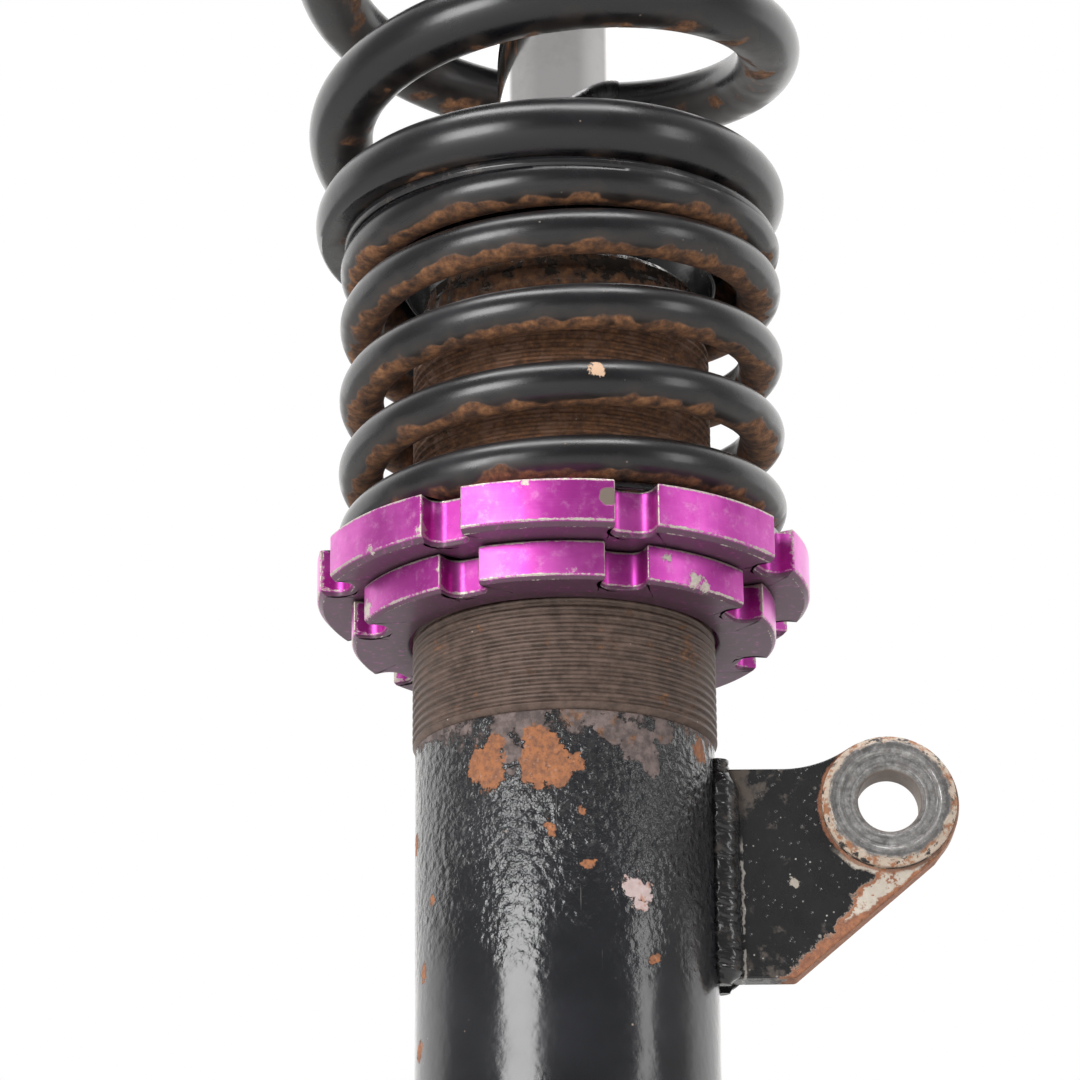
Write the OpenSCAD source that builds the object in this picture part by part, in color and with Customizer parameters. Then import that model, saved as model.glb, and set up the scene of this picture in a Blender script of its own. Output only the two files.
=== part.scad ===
// Front suspension coilover strut: a threaded twin-tube damper with two spring rings, a helper
// spring, a coupling ring, a main spring, and a top mount with a ball bearing.
// Millimetres. The strut axis is Z, the foot of the strut tube is at z = 0 and the anti-roll bar
// link bracket points along +X.

/* [Strut tube] */
// Outside diameter of the painted strut tube
tube_d = 51; // [48:0.5:62]
// Wall of the strut tube
tube_wall = 3; // [2.5:0.1:4]
// Length of the tube from its foot to the start of the thread
tube_len = 225.2; // [180:1:280]
// Diameter of the machined spigot that the wheel carrier clamps
spigot_d = 50; // [46:0.5:61]
// Length of the clamped spigot
spigot_len = 95; // [60:1:120]
// Thickness of the cap that closes the foot
foot_cap_t = 5; // [4:0.5:8]

/* [Threaded tube] */
// Outside diameter of the height adjustment thread
thread_d = 52; // [49:0.5:63]
// Length of the threaded part
thread_len = 73.3; // [60:1:120]
// Diameter of the plain neck above the thread
neck_d = 49; // [47:0.5:60]
// Length of the plain neck
neck_len = 3; // [2:0.5:6]

/* [Spring rings] */
// Outside diameter of the adjuster collar under the spring
adjuster_d = 85; // [72:0.5:104]
// Height of the adjuster collar
adjuster_h = 8.25; // [7:0.25:14]
// Outside diameter of the lock ring
lock_d = 73; // [66:0.5:90]
// Height of the lock ring
lock_h = 6.7; // [6:0.1:12]
// Gap between the two rings
ring_gap = 0.35; // [0.1:0.05:2]
// Distance from the start of the thread up to the spring face of the adjuster collar
adjuster_rise = 34.2; // [28:0.1:45]
// Number of spanner notches round each ring
notch_count = 8; // [4:1:10]
// Width of a spanner notch
notch_w = 7.3; // [4:0.1:9]
// Depth of a spanner notch
notch_depth = 4.8; // [2:0.1:6]
// Angle of the first notch from +X
notch_phase = 16.7; // [0:0.1:45]

/* [Helper spring] */
// Room between the thread and the inside of the helper spring
helper_clear = 5.2; // [3.5:0.1:7]
// Wire diameter of the helper spring
helper_wire = 7.8; // [6:0.1:9.4]
// Free height of the helper spring between its ground ends
helper_h = 58; // [50:0.5:72]
// Turns of the helper spring, tip to tip
helper_turns = 5.43; // [4.8:0.01:5.8]

/* [Main spring] */
// Inside diameter of the main spring at its upper end
main_high_bore = 83.2; // [72:0.2:100]
// Wire diameter of the main spring
main_wire = 11.4; // [9:0.1:13.7]
// Free height of the main spring between its ground ends
main_h = 156.1; // [130:0.5:190]
// Turns of the main spring, tip to tip
main_turns = 5.8; // [5:0.1:6.6]
// Sideways offset of the lower end of the main spring
main_lean = 1.85; // [0:0.05:2]

/* [Coupling ring] */
// Room between the thread and the bore of the coupling ring
coupler_clear = 0.9; // [0.6:0.1:1.5]
// Wall of the coupling ring's guide spigots
coupler_wall = 0.9; // [0.8:0.1:2]
// Thickness of the coupling ring's lip
coupler_lip = 2; // [1.5:0.1:4]
// Height of each guide spigot of the coupling ring
coupler_spigot = 7; // [4:0.5:12]

/* [Damper] */
// Diameter of the piston rod
rod_d = 22; // [18:0.5:26.4]
// Outside diameter of the pressure tube
pressure_d = 36; // [34:0.5:38]
// Wall of the pressure tube
pressure_wall = 2; // [1.5:0.1:2.5]
// Height of the gland nut's flange above the neck
gland_h = 7.5; // [5:0.5:12]
// Height of the rod's lower shoulder, where the piston stack begins
piston_shoulder_z = 222; // [190:1:232]
// Length of the bump stop
bump_len = 68; // [40:1:72]

/* [Link bracket] */
// Distance of the link eye from the strut axis
eye_x = 54.6; // [45:0.1:66]
// Distance of the link eye below the start of the thread
eye_drop = 10.2; // [6:0.1:16]
// Diameter of the link bolt hole
eye_hole_d = 10.6; // [8:0.1:12.8]
// Outside diameter of the turned boss round the hole
boss_d = 22.8; // [20:0.2:27.4]
// How far the boss stands proud of the plate
boss_proud = 3; // [1:0.5:5]
// Thickness of the bracket plate
plate_t = 5; // [4:0.5:8]

/* [Top mount] */
// Distance of the body fixing studs from the strut axis
stud_circle_r = 55; // [53:0.5:66]
// Diameter of the body fixing studs
stud_d = 8; // [6:1:10]
// Length of a stud above the mount plate
stud_len = 24; // [15:1:35]
// Diameter of the thread at the top of the piston rod
rod_stud_d = 14; // [12:1:16]

/* [Hidden] */
$fn = 96;

// Clearances: running fits, loose fits and seats between pieces of one body
run_gap = 0.03;
loose_gap = 0.05;
eps = 0.5;

// Strut tube and thread
tube_r = tube_d / 2;
bore_r = tube_r - tube_wall;
spigot_r = spigot_d / 2;
thread_r = thread_d / 2;
neck_r = neck_d / 2;
thread_z0 = tube_len;
thread_z1 = thread_z0 + thread_len;
neck_z1 = thread_z1 + neck_len;
relief = 0.9;

// Rings and springs, stacked upwards from the adjuster collar
adjuster_top = thread_z0 + adjuster_rise;
adjuster_z0 = adjuster_top - adjuster_h;
lock_z0 = adjuster_z0 - ring_gap - lock_h;
ring_bore_r = thread_r + loose_gap;
helper_r = thread_r + helper_clear + helper_wire / 2;
coupler_bore_r = ring_bore_r + coupler_clear;
guide_r = coupler_bore_r + coupler_wall;
lip_r = helper_r + helper_wire / 2 - 0.5;
guide_room = 0.6;
main_low_r = guide_r + guide_room + main_lean + main_wire / 2;
main_high_r = (main_high_bore + main_wire) / 2;
main_flare_turn = 0.75;
main_flare = 3.4;
helper_top = adjuster_top + helper_h;
coupler_top = helper_top + coupler_lip;
main_top = coupler_top + main_h;
coil_gap = 0.45;
coil_ease = 0.5;

// Damper cartridge
rod_r = rod_d / 2;
pressure_r = pressure_d / 2;
cylinder_r = pressure_r - pressure_wall;
valve_flange = 4;
valve_h = 15;
guide_top = neck_z1 - 17.5;
guide_flange = 16;
guide_z0 = guide_top - guide_flange;
guide_spigot = 12;
bush_t = 1.5;
bush_r = rod_r + bush_t;
seal_h = 7;
wiper_r = rod_r + 4.5;
gland_top = neck_z1 + gland_h;
wiper_seat = neck_z1 + 2;

// Piston stack, downwards from the rod's lower shoulder
spindle_r = 6;
shim_t = 0.75;
shim_count = 4;
piston_h = 16;
piston_top = piston_shoulder_z - shim_t * shim_count;
piston_z0 = piston_top - piston_h;
piston_r = cylinder_r - 0.5;
band_h = 8;
band_depth = 2;
piston_nut_h = 10;
piston_nut_af = 19;
rebound_stop_z = piston_shoulder_z + 6;
rebound_stop_h = 8;
rebound_buffer_h = 6;

// Upper seat and top mount, upwards from the main spring
insulator_t = 4;
seat_t = 3;
seat_z0 = main_top + insulator_t;
seat_z1 = seat_z0 + seat_t;
seat_rim = 8;
seat_r = main_high_r + main_wire / 2 + 2;
rod_stud_r = rod_stud_d / 2;
spacer_h = 11.5;
spacer_r = rod_stud_r + 5;
bearing_z0 = seat_z1 + spacer_h;
bearing_w = 12;
bearing_z1 = bearing_z0 + bearing_w;
ball_r = 3.6;
ball_circle_r = rod_stud_r + 7.5;
ball_count = 9;
race_gap = 2.3;
outer_race_r = ball_circle_r + 6.5;
cup_wall = 2.5;
cup_r = outer_race_r + cup_wall;
rubber_r = cup_r + 18.5;
shell_wall = 2.5;
shell_r = rubber_r + shell_wall;
flange_z0 = bearing_z0 + 7;
flange_t = 3;
lobe_r = 11;
knurl = 0.3;
washer_t = 3;
nut_h = 12;
nut_af = 22;
rod_top = bearing_z1 + washer_t + nut_h + 5;

// Link bracket, drawn in the X-Z plane round the eye
eye_z = thread_z0 - eye_drop;
boss_r = boss_d / 2;
eye_r = boss_r + 0.5;
plate_top = eye_z + 6.4;
plate_foot = eye_z - 29.9;
heel_x = eye_x - 16.4;
toe = [eye_x + 7.7, eye_z - 9.5];
neck_fillet = 20;
fillet_x = eye_x - sqrt(pow(eye_r + neck_fillet, 2) - pow(plate_top + neck_fillet - eye_z, 2));
sleeve_r = 8;
weld_r = 3.4;
weld_over = 1.3;

// ---------- helpers ----------

// A ring turned from a closed outline of [radius, height] points
module turned(outline) {
    rotate_extrude() polygon(outline);
}

// A plain tube between two heights
module tube(r_out, r_in, z0, z1) {
    turned([[r_in, z0], [r_out, z0], [r_out, z1], [r_in, z1]]);
}

// A six-sided prism with the given width across its flats
module hex_prism(af, z0, z1) {
    translate([0, 0, z0]) cylinder(r = af / 2 / cos(30), h = z1 - z0, $fn = 6);
}

// Distance run after an eased start of length ease at u0
function eased(u, u0, ease) =
    u <= u0 ? 0 : u >= u0 + ease ? u - u0 - ease / 2 : pow(u - u0, 2) / (2 * ease);

// Coil with closed, ground ends. spec = [base, height, wire, turns, dead turns low, dead turns
// high, tip drop below the ground face, start angle]; radius and lean follow the turn number.
function tip_rise(s) = s[1] + 2 * s[6];
function live_turns(s) = s[3] - s[4] - s[5];
function first_lift(s) = eased(1, s[4] - coil_ease / 2, coil_ease);
function closed_rise(s) =
    (s[2] + coil_gap - tip_rise(s) * first_lift(s) / live_turns(s))
    / (1 - s[3] * first_lift(s) / live_turns(s));
function live_rise(s) = (tip_rise(s) - closed_rise(s) * s[3]) / live_turns(s);
function coil_z(s, u) = s[0] - s[6] + closed_rise(s) * u + live_rise(s)
    * (eased(u, s[4] - coil_ease / 2, coil_ease) - eased(u, s[3] - s[5] - coil_ease / 2, coil_ease));

module coil(s, radii, lean, sides, steps) {
    rings = ceil(s[3] * steps);
    points = [for (i = [0 : rings])
        let (u = s[3] * i / rings, a = s[7] + 360 * u, r = radii[0] + radii[1] * max(0, u - radii[2]))
        for (j = [0 : sides - 1])
            let (q = 360 * j / sides,
                 rho = min(r, radii[3]) + s[2] / 2 * cos(q),
                 z = min(s[0] + s[1], max(s[0], coil_z(s, u) + s[2] / 2 * sin(q))))
            [rho * cos(a) - lean * (1 - u / s[3]), rho * sin(a), z]];
    skin = [for (i = [0 : rings - 1]) for (j = [0 : sides - 1])
        let (a = i * sides + j, b = i * sides + (j + 1) % sides) each
        [[a, b, b + sides], [a, b + sides, a + sides]]];
    crown = floor(sides / 4);
    sole = floor(3 * sides / 4);
    caps = [[for (k = [0 : sides - 1]) (crown - k + sides) % sides],
            [for (k = [0 : sides - 1]) rings * sides + (sole + k) % sides]];
    polyhedron(points, concat(skin, caps), convexity = 10);
}

// A spring ring: chamfered below, bored for the thread, with round-ended spanner notches
module spring_ring(d, z0, z1, chamfer) {
    r = d / 2;
    difference() {
        turned([[ring_bore_r + 1, z0], [r - chamfer, z0], [r, z0 + chamfer], [r, z1 - 0.4],
                [r - 0.4, z1], [ring_bore_r + 0.6, z1], [ring_bore_r, z1 - 0.6],
                [ring_bore_r, z0 + 1]]);
        for (i = [0 : notch_count - 1]) rotate([0, 0, notch_phase + i * 360 / notch_count]) {
            translate([r - notch_depth + notch_w / 2, 0, z0 - eps])
                cylinder(d = notch_w, h = z1 - z0 + 2 * eps, $fn = 48);
            translate([r - notch_depth + notch_w / 2, -notch_w / 2, z0 - eps])
                cube([notch_depth + eps, notch_w, z1 - z0 + 2 * eps]);
        }
    }
}

// ---------- strut body ----------

module strut_tube() {
    color([0.09, 0.09, 0.1]) turned([[bore_r, 0], [spigot_r, 0], [spigot_r, spigot_len],
        [tube_r, spigot_len + 1], [tube_r, thread_z0], [bore_r, thread_z0]]);
}

module threaded_tube() {
    color([0.36, 0.29, 0.23]) turned([[bore_r, thread_z0], [thread_r - relief, thread_z0],
        [thread_r, thread_z0 + relief], [thread_r, thread_z1 - relief],
        [neck_r, thread_z1], [neck_r, neck_z1], [bore_r, neck_z1]]);
}

module foot_cap() {
    color([0.12, 0.12, 0.13]) turned([[0, 1.5], [bore_r - 5, 1.5], [bore_r - 2, 0], [bore_r, 0],
        [bore_r, foot_cap_t], [0, foot_cap_t]]);
}

module gland_nut() {
    pin_circle_r = (wiper_r + neck_r) / 2;
    color([0.07, 0.07, 0.08]) difference() {
        turned([[rod_r + 2, guide_top + seal_h], [bore_r - loose_gap, guide_top + seal_h],
            [bore_r - loose_gap, neck_z1], [neck_r - 0.6, neck_z1], [neck_r + 0.3, neck_z1 + 1],
            [neck_r + 0.3, neck_z1 + 3], [neck_r - 0.3, neck_z1 + 4], [neck_r - 0.3, gland_top - 1.5],
            [neck_r - 1.8, gland_top], [wiper_r, gland_top], [wiper_r, wiper_seat],
            [rod_r + 2, wiper_seat]]);
        for (a = [0 : 90 : 270]) rotate([0, 0, a + 20])
            translate([pin_circle_r, 0, gland_top - 4]) cylinder(d = 4, h = 5, $fn = 32);
    }
}

module rod_wiper() {
    lip = rod_r + run_gap;
    color([0.05, 0.05, 0.05]) turned([[rod_r + 0.8, wiper_seat], [wiper_r, wiper_seat],
        [wiper_r, gland_top], [wiper_r - 1, gland_top + 0.8], [rod_r + 2, gland_top + 1],
        [lip + 1, gland_top + 3], [lip, gland_top + 3], [lip, gland_top + 1.5],
        [rod_r + 0.8, gland_top - 1]]);
}

module rod_seal() {
    lip = rod_r + run_gap;
    z1 = guide_top + seal_h;
    color([0.15, 0.1, 0.08]) turned([[lip + 1, guide_top], [bore_r - 1, guide_top], [bore_r - 1, z1],
        [rod_r + 1.5, z1], [lip, z1 - 1.5], [lip, z1 - 2.5], [lip + 1, z1 - 4]]);
}

module rod_guide() {
    color([0.45, 0.45, 0.47]) turned([[bush_r, guide_z0 - guide_spigot],
        [cylinder_r - 1, guide_z0 - guide_spigot], [cylinder_r, guide_z0 - guide_spigot + 1],
        [cylinder_r, guide_z0], [pressure_r + 1, guide_z0], [bore_r, guide_z0 + 3],
        [bore_r, guide_top], [rod_r + 0.7, guide_top], [rod_r + 0.7, guide_top - 4],
        [bush_r, guide_top - 4]]);
}

module guide_bush() {
    color([0.55, 0.38, 0.2]) tube(bush_r, rod_r + run_gap, guide_z0 - guide_spigot, guide_top - 4);
}

module pressure_tube() {
    color([0.6, 0.6, 0.62]) tube(pressure_r, cylinder_r, foot_cap_t + valve_flange, guide_z0);
}

module foot_valve() {
    z1 = foot_cap_t + valve_h;
    color([0.62, 0.55, 0.4]) difference() {
        turned([[0, foot_cap_t], [pressure_r, foot_cap_t], [pressure_r, foot_cap_t + valve_flange],
            [cylinder_r, foot_cap_t + valve_flange], [cylinder_r, z1 - 1], [cylinder_r - 1, z1],
            [0, z1]]);
        for (a = [0 : 60 : 300]) rotate([0, 0, a])
            translate([cylinder_r - 6, 0, foot_cap_t + 2]) cylinder(d = 3, h = valve_h, $fn = 24);
        for (a = [30 : 120 : 270]) rotate([0, 0, a])
            translate([cylinder_r - 7, -2, foot_cap_t - eps]) cube([12, 4, 2.5 + eps]);
    }
}

// ---------- anti-roll bar link bracket ----------

module link_bracket() {
    color([0.08, 0.08, 0.09]) difference() {
        union() {
            translate([0, plate_t / 2, 0]) rotate([90, 0, 0]) linear_extrude(plate_t)
                polygon([[tube_r - 2, plate_foot], [heel_x, plate_foot], toe, [eye_x, eye_z],
                    [eye_x - 6, eye_z + eye_r - 2], [fillet_x, plate_top], [tube_r - 2, plate_top]]);
            translate([eye_x, plate_t / 2, eye_z]) rotate([90, 0, 0]) cylinder(r = eye_r, h = plate_t);
        }
        translate([fillet_x, plate_t, plate_top + neck_fillet]) rotate([90, 0, 0])
            cylinder(r = neck_fillet, h = 2 * plate_t);
        translate([eye_x, plate_t, eye_z]) rotate([90, 0, 0])
            cylinder(r = sleeve_r, h = 2 * plate_t);
        translate([0, 0, plate_foot - eps])
            cylinder(r = tube_r, h = plate_top - plate_foot + 2 * eps);
    }
}

module link_boss() {
    rise = plate_t + boss_proud;
    hole_r = eye_hole_d / 2;
    color([0.5, 0.49, 0.47]) translate([eye_x, plate_t / 2, eye_z]) rotate([90, 0, 0])
        turned([[hole_r, 0], [sleeve_r, 0], [sleeve_r, plate_t], [boss_r, plate_t],
            [boss_r, rise - 1.3], [boss_r - 1.3, rise], [boss_r - 2.8, rise],
            [boss_r - 3.4, rise - 0.6], [hole_r + 0.6, rise - 0.6], [hole_r, rise - 1.2]]);
}

module bracket_welds() {
    corner_x = sqrt(tube_r * tube_r - plate_t * plate_t / 4) + 0.5;
    color([0.1, 0.1, 0.11]) for (side = [-1, 1]) difference() {
        translate([corner_x, side * (plate_t / 2 + 0.5), plate_foot - weld_over])
            cylinder(r = weld_r, h = plate_top - plate_foot + 2 * weld_over, $fn = 48);
        translate([0, 0, plate_foot - weld_over - eps])
            cylinder(r = tube_r, h = plate_top - plate_foot + 2 * weld_over + 2 * eps);
        translate([0, -plate_t / 2, plate_foot - weld_over - eps])
            cube([eye_x, plate_t, plate_top - plate_foot + 2 * weld_over + 2 * eps]);
    }
}

// ---------- spring rings, springs and coupling ring ----------

module adjuster_collar() {
    color([0.62, 0.16, 0.6]) spring_ring(adjuster_d, adjuster_z0, adjuster_top, 1.05);
}

module lock_ring() {
    color([0.62, 0.16, 0.6]) spring_ring(lock_d, lock_z0, lock_z0 + lock_h, 0.75);
}

helper_spec = [adjuster_top, helper_h, helper_wire, helper_turns, 1, 1.23, helper_wire * 0.244, -83];

module helper_spring() {
    color([0.08, 0.08, 0.09]) coil(helper_spec, [helper_r, 0, 0, helper_r], 0, 10, 22);
}

module coupling_ring() {
    z0 = helper_top - coupler_spigot;
    z1 = coupler_top + coupler_spigot;
    color([0.06, 0.06, 0.07]) turned([[coupler_bore_r, z0], [guide_r - 0.4, z0],
        [guide_r, z0 + 1], [guide_r, helper_top], [lip_r - 0.5, helper_top],
        [lip_r, helper_top + 0.5], [lip_r, coupler_top - 0.5], [lip_r - 0.5, coupler_top],
        [guide_r, coupler_top], [guide_r, z1 - 1], [guide_r - 0.4, z1], [coupler_bore_r, z1]]);
}

main_spec = [coupler_top, main_h, main_wire, main_turns, 0.93, 0.93, main_wire * -0.08, 90];

module main_spring() {
    color([0.08, 0.08, 0.09])
        coil(main_spec, [main_low_r, main_flare, main_flare_turn, main_high_r], main_lean, 12, 24);
}

// ---------- piston rod and what it carries ----------

module piston_rod() {
    tip = piston_z0 - shim_t * shim_count - piston_nut_h - 2;
    color([0.8, 0.8, 0.82]) difference() {
        turned([[0, tip], [spindle_r - 1, tip], [spindle_r, tip + 1], [spindle_r, piston_shoulder_z],
            [rod_r - 0.5, piston_shoulder_z], [rod_r, piston_shoulder_z + 0.5], [rod_r, seat_z0],
            [rod_stud_r, seat_z0], [rod_stud_r, rod_top - 1], [rod_stud_r - 1, rod_top],
            [0, rod_top]]);
        hex_prism(6, rod_top - 7, rod_top + eps);
    }
}

module piston() {
    color([0.4, 0.4, 0.42]) difference() {
        turned([[spindle_r, piston_z0], [piston_r - 1, piston_z0], [piston_r, piston_z0 + 1],
            [piston_r, piston_z0 + (piston_h - band_h) / 2],
            [piston_r - band_depth, piston_z0 + (piston_h - band_h) / 2],
            [piston_r - band_depth, piston_z0 + (piston_h + band_h) / 2],
            [piston_r, piston_z0 + (piston_h + band_h) / 2], [piston_r, piston_top - 1],
            [piston_r - 1, piston_top], [spindle_r, piston_top]]);
        for (a = [0 : 60 : 300]) rotate([0, 0, a])
            translate([(spindle_r + piston_r) / 2, 0, piston_z0 - eps])
                cylinder(d = 2.6, h = piston_h + 2 * eps, $fn = 24);
    }
}

module piston_band() {
    z0 = piston_z0 + (piston_h - band_h) / 2;
    color([0.5, 0.35, 0.2]) tube(cylinder_r - run_gap, piston_r - band_depth, z0, z0 + band_h);
}

module piston_nut() {
    z1 = piston_z0 - shim_t * shim_count;
    color([0.55, 0.55, 0.57]) difference() {
        hex_prism(piston_nut_af, z1 - piston_nut_h, z1);
        translate([0, 0, z1 - piston_nut_h - eps])
            cylinder(r = spindle_r, h = piston_nut_h + 2 * eps, $fn = 48);
    }
}

// A stack of spring discs that get smaller away from the piston
module shims(z0, step) {
    for (i = [0 : shim_count - 1])
        tube(piston_r - 1 - i * 1.6, spindle_r,
             min(z0 + i * step, z0 + (i + 1) * step), max(z0 + i * step, z0 + (i + 1) * step));
}

module compression_shims() {
    color([0.7, 0.7, 0.72]) shims(piston_top, shim_t);
}

module rebound_shims() {
    color([0.7, 0.7, 0.72]) shims(piston_z0, -shim_t);
}

module rebound_stop() {
    color([0.5, 0.5, 0.52]) turned([[rod_r, rebound_stop_z], [cylinder_r - 2.5, rebound_stop_z],
        [cylinder_r - 1.5, rebound_stop_z + 1.5],
        [cylinder_r - 1.5, rebound_stop_z + rebound_stop_h],
        [rod_r, rebound_stop_z + rebound_stop_h]]);
}

module rebound_buffer() {
    z0 = rebound_stop_z + rebound_stop_h;
    color([0.16, 0.16, 0.17]) turned([[rod_r, z0], [cylinder_r - 1.5, z0],
        [cylinder_r - 1.2, z0 + rebound_buffer_h - 2], [cylinder_r - 2.4, z0 + rebound_buffer_h],
        [rod_r, z0 + rebound_buffer_h]]);
}

module bump_stop() {
    z1 = seat_z0 - 3;
    bulge = rod_r + 12;
    waist = rod_r + 8.5;
    ring_h = bump_len / 4;
    color([0.16, 0.15, 0.14]) turned(concat([[rod_r + 0.3, z1 - bump_len]],
        [for (i = [0 : 3]) each [[waist - (i == 0 ? 2.5 : 0), z1 - bump_len + i * ring_h],
            [bulge - (i == 0 ? 2 : 0), z1 - bump_len + (i + 0.35) * ring_h],
            [bulge, z1 - bump_len + (i + 0.7) * ring_h]]],
        [[waist, z1], [rod_r + 0.3, z1]]));
}

module bump_stop_cup() {
    z1 = seat_z0;
    cup_in = rod_r + 12.5;
    color([0.2, 0.2, 0.21]) turned([[rod_r + 0.1, z1 - 3], [cup_in, z1 - 3], [cup_in, z1 - 9],
        [cup_in + 2, z1 - 9], [cup_in + 2, z1], [rod_r + 0.1, z1]]);
}

module seat_insulator() {
    r_in = main_high_bore / 2 - 2;
    color([0.05, 0.05, 0.05]) turned([[r_in, main_top], [seat_r, main_top], [seat_r, seat_z0],
        [r_in - 2, seat_z0], [r_in - 2, main_top - 4], [r_in, main_top - 4]]);
}

module upper_seat() {
    color([0.08, 0.08, 0.09]) turned([[rod_stud_r + loose_gap, seat_z0], [seat_r, seat_z0],
        [seat_r, seat_z0 - seat_rim], [seat_r + seat_t, seat_z0 - seat_rim],
        [seat_r + seat_t, seat_z1 - 2], [seat_r + seat_t - 2, seat_z1],
        [rod_stud_r + loose_gap, seat_z1]]);
}

module seat_spacer() {
    color([0.6, 0.6, 0.62]) turned([[rod_stud_r + loose_gap, seat_z1], [spacer_r + 6, seat_z1],
        [spacer_r + 6, seat_z1 + 3], [spacer_r, seat_z1 + 6], [spacer_r, bearing_z0],
        [rod_stud_r + loose_gap, bearing_z0]]);
}

// ---------- top mount ----------

module ball_track() {
    translate([0, 0, (bearing_z0 + bearing_z1) / 2]) rotate_extrude()
        translate([ball_circle_r, 0]) circle(r = ball_r + loose_gap, $fn = 48);
}

module bearing_inner_race() {
    color([0.66, 0.66, 0.68]) difference() {
        tube(ball_circle_r - race_gap, rod_stud_r + loose_gap, bearing_z0, bearing_z1);
        ball_track();
    }
}

module bearing_outer_race() {
    color([0.66, 0.66, 0.68]) difference() {
        tube(outer_race_r, ball_circle_r + race_gap, bearing_z0, bearing_z1);
        ball_track();
    }
}

module bearing_balls() {
    color([0.82, 0.82, 0.84]) for (i = [0 : ball_count - 1]) rotate([0, 0, i * 360 / ball_count])
        translate([ball_circle_r, 0, (bearing_z0 + bearing_z1) / 2]) sphere(r = ball_r, $fn = 48);
}

module bearing_cup() {
    color([0.3, 0.3, 0.31]) turned([[outer_race_r - 2.5, bearing_z0 - 2],
        [cup_r, bearing_z0 - 2], [cup_r, bearing_z1 + 2], [outer_race_r - 1.5, bearing_z1 + 2],
        [outer_race_r - 1.5, bearing_z1], [outer_race_r, bearing_z1], [outer_race_r, bearing_z0],
        [outer_race_r - 2.5, bearing_z0]]);
}

module mount_rubber() {
    color([0.06, 0.06, 0.06]) turned([[cup_r, bearing_z0 - 1], [cup_r + 5, bearing_z0 - 1],
        [rubber_r - 6, bearing_z0 + 2], [rubber_r, bearing_z0 + 2], [rubber_r, bearing_z1 + 1],
        [rubber_r - 6, bearing_z1 + 1], [cup_r + 5, bearing_z1 - 2], [cup_r, bearing_z1 - 2]]);
}

module mount_plate() {
    tip_r = stud_circle_r + lobe_r;
    color([0.1, 0.1, 0.11]) difference() {
        union() {
            turned([[rubber_r, bearing_z0 + 1], [shell_r, bearing_z0 + 1], [shell_r, flange_z0],
                [shell_r + 6, flange_z0], [shell_r + 6, flange_z0 + flange_t],
                [shell_r, flange_z0 + flange_t], [shell_r, bearing_z1 + 3],
                [rubber_r - 5, bearing_z1 + 3], [rubber_r - 5, bearing_z1 + 1],
                [rubber_r, bearing_z1 + 1]]);
            for (a = [90 : 120 : 330]) rotate([0, 0, a]) translate([0, 0, flange_z0]) {
                translate([stud_circle_r, 0, 0]) cylinder(r = lobe_r, h = flange_t, $fn = 64);
                linear_extrude(flange_t) polygon([[rubber_r + 1, -22], [tip_r - lobe_r, -lobe_r],
                    [tip_r - lobe_r, lobe_r], [rubber_r + 1, 22]]);
            }
        }
        translate([0, 0, flange_z0 - eps]) cylinder(r = rubber_r, h = flange_t + 2 * eps);
        for (a = [90 : 120 : 330]) rotate([0, 0, a]) translate([stud_circle_r, 0, flange_z0 - eps])
            cylinder(r = stud_d / 2 + knurl, h = flange_t + 2 * eps, $fn = 48);
    }
}

module mount_studs() {
    r = stud_d / 2;
    z0 = flange_z0 + flange_t;
    z1 = z0 + stud_len;
    color([0.62, 0.58, 0.45]) for (a = [90 : 120 : 330]) rotate([0, 0, a])
        translate([stud_circle_r, 0, 0]) turned([[0, flange_z0 - 2.5], [r + 2.5, flange_z0 - 2.5],
            [r + 2.5, flange_z0], [r + knurl, flange_z0], [r + knurl, z0], [r, z0], [r, z1 - 1],
            [r - 1, z1], [0, z1]]);
}

module rod_washer() {
    color([0.55, 0.55, 0.57])
        tube(rod_stud_r + 6, rod_stud_r + 0.1, bearing_z1, bearing_z1 + washer_t);
}

module rod_nut() {
    z0 = bearing_z1 + washer_t;
    color([0.6, 0.6, 0.62]) difference() {
        union() {
            hex_prism(nut_af, z0, z0 + nut_h - 3);
            translate([0, 0, z0 + nut_h - 3]) cylinder(r = nut_af / 2 - 1.5, h = 3);
        }
        translate([0, 0, z0 - eps]) cylinder(r = rod_stud_r, h = nut_h + 2 * eps);
    }
}

strut_tube();
threaded_tube();
foot_cap();
gland_nut();
rod_wiper();
rod_seal();
rod_guide();
guide_bush();
pressure_tube();
foot_valve();
link_bracket();
link_boss();
bracket_welds();
helper_spring();
adjuster_collar();
lock_ring();
coupling_ring();
piston_rod();
piston();
piston_band();
piston_nut();
compression_shims();
rebound_shims();
rebound_stop();
rebound_buffer();
bump_stop();
bump_stop_cup();
main_spring();
seat_insulator();
upper_seat();
seat_spacer();
bearing_inner_race();
bearing_balls();
rod_washer();
rod_nut();
bearing_outer_race();
bearing_cup();
mount_rubber();
mount_plate();
mount_studs();
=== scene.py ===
# %% [markdown]
# # A coilover strut, piece by piece
# A coilover is a damper in a threaded tube, with a spring that stands on a ring on that thread.
# The sizes and the places come from the packed frame, and this lesson gives each piece its true
# skin and its finish. Wear is placed one by one. Outlines are written in millimetres, as on a workshop
# drawing, and become metres when the mesh is made.

import math

import bmesh
import bpy
import numpy as np
from mathutils import Matrix, Vector


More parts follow.
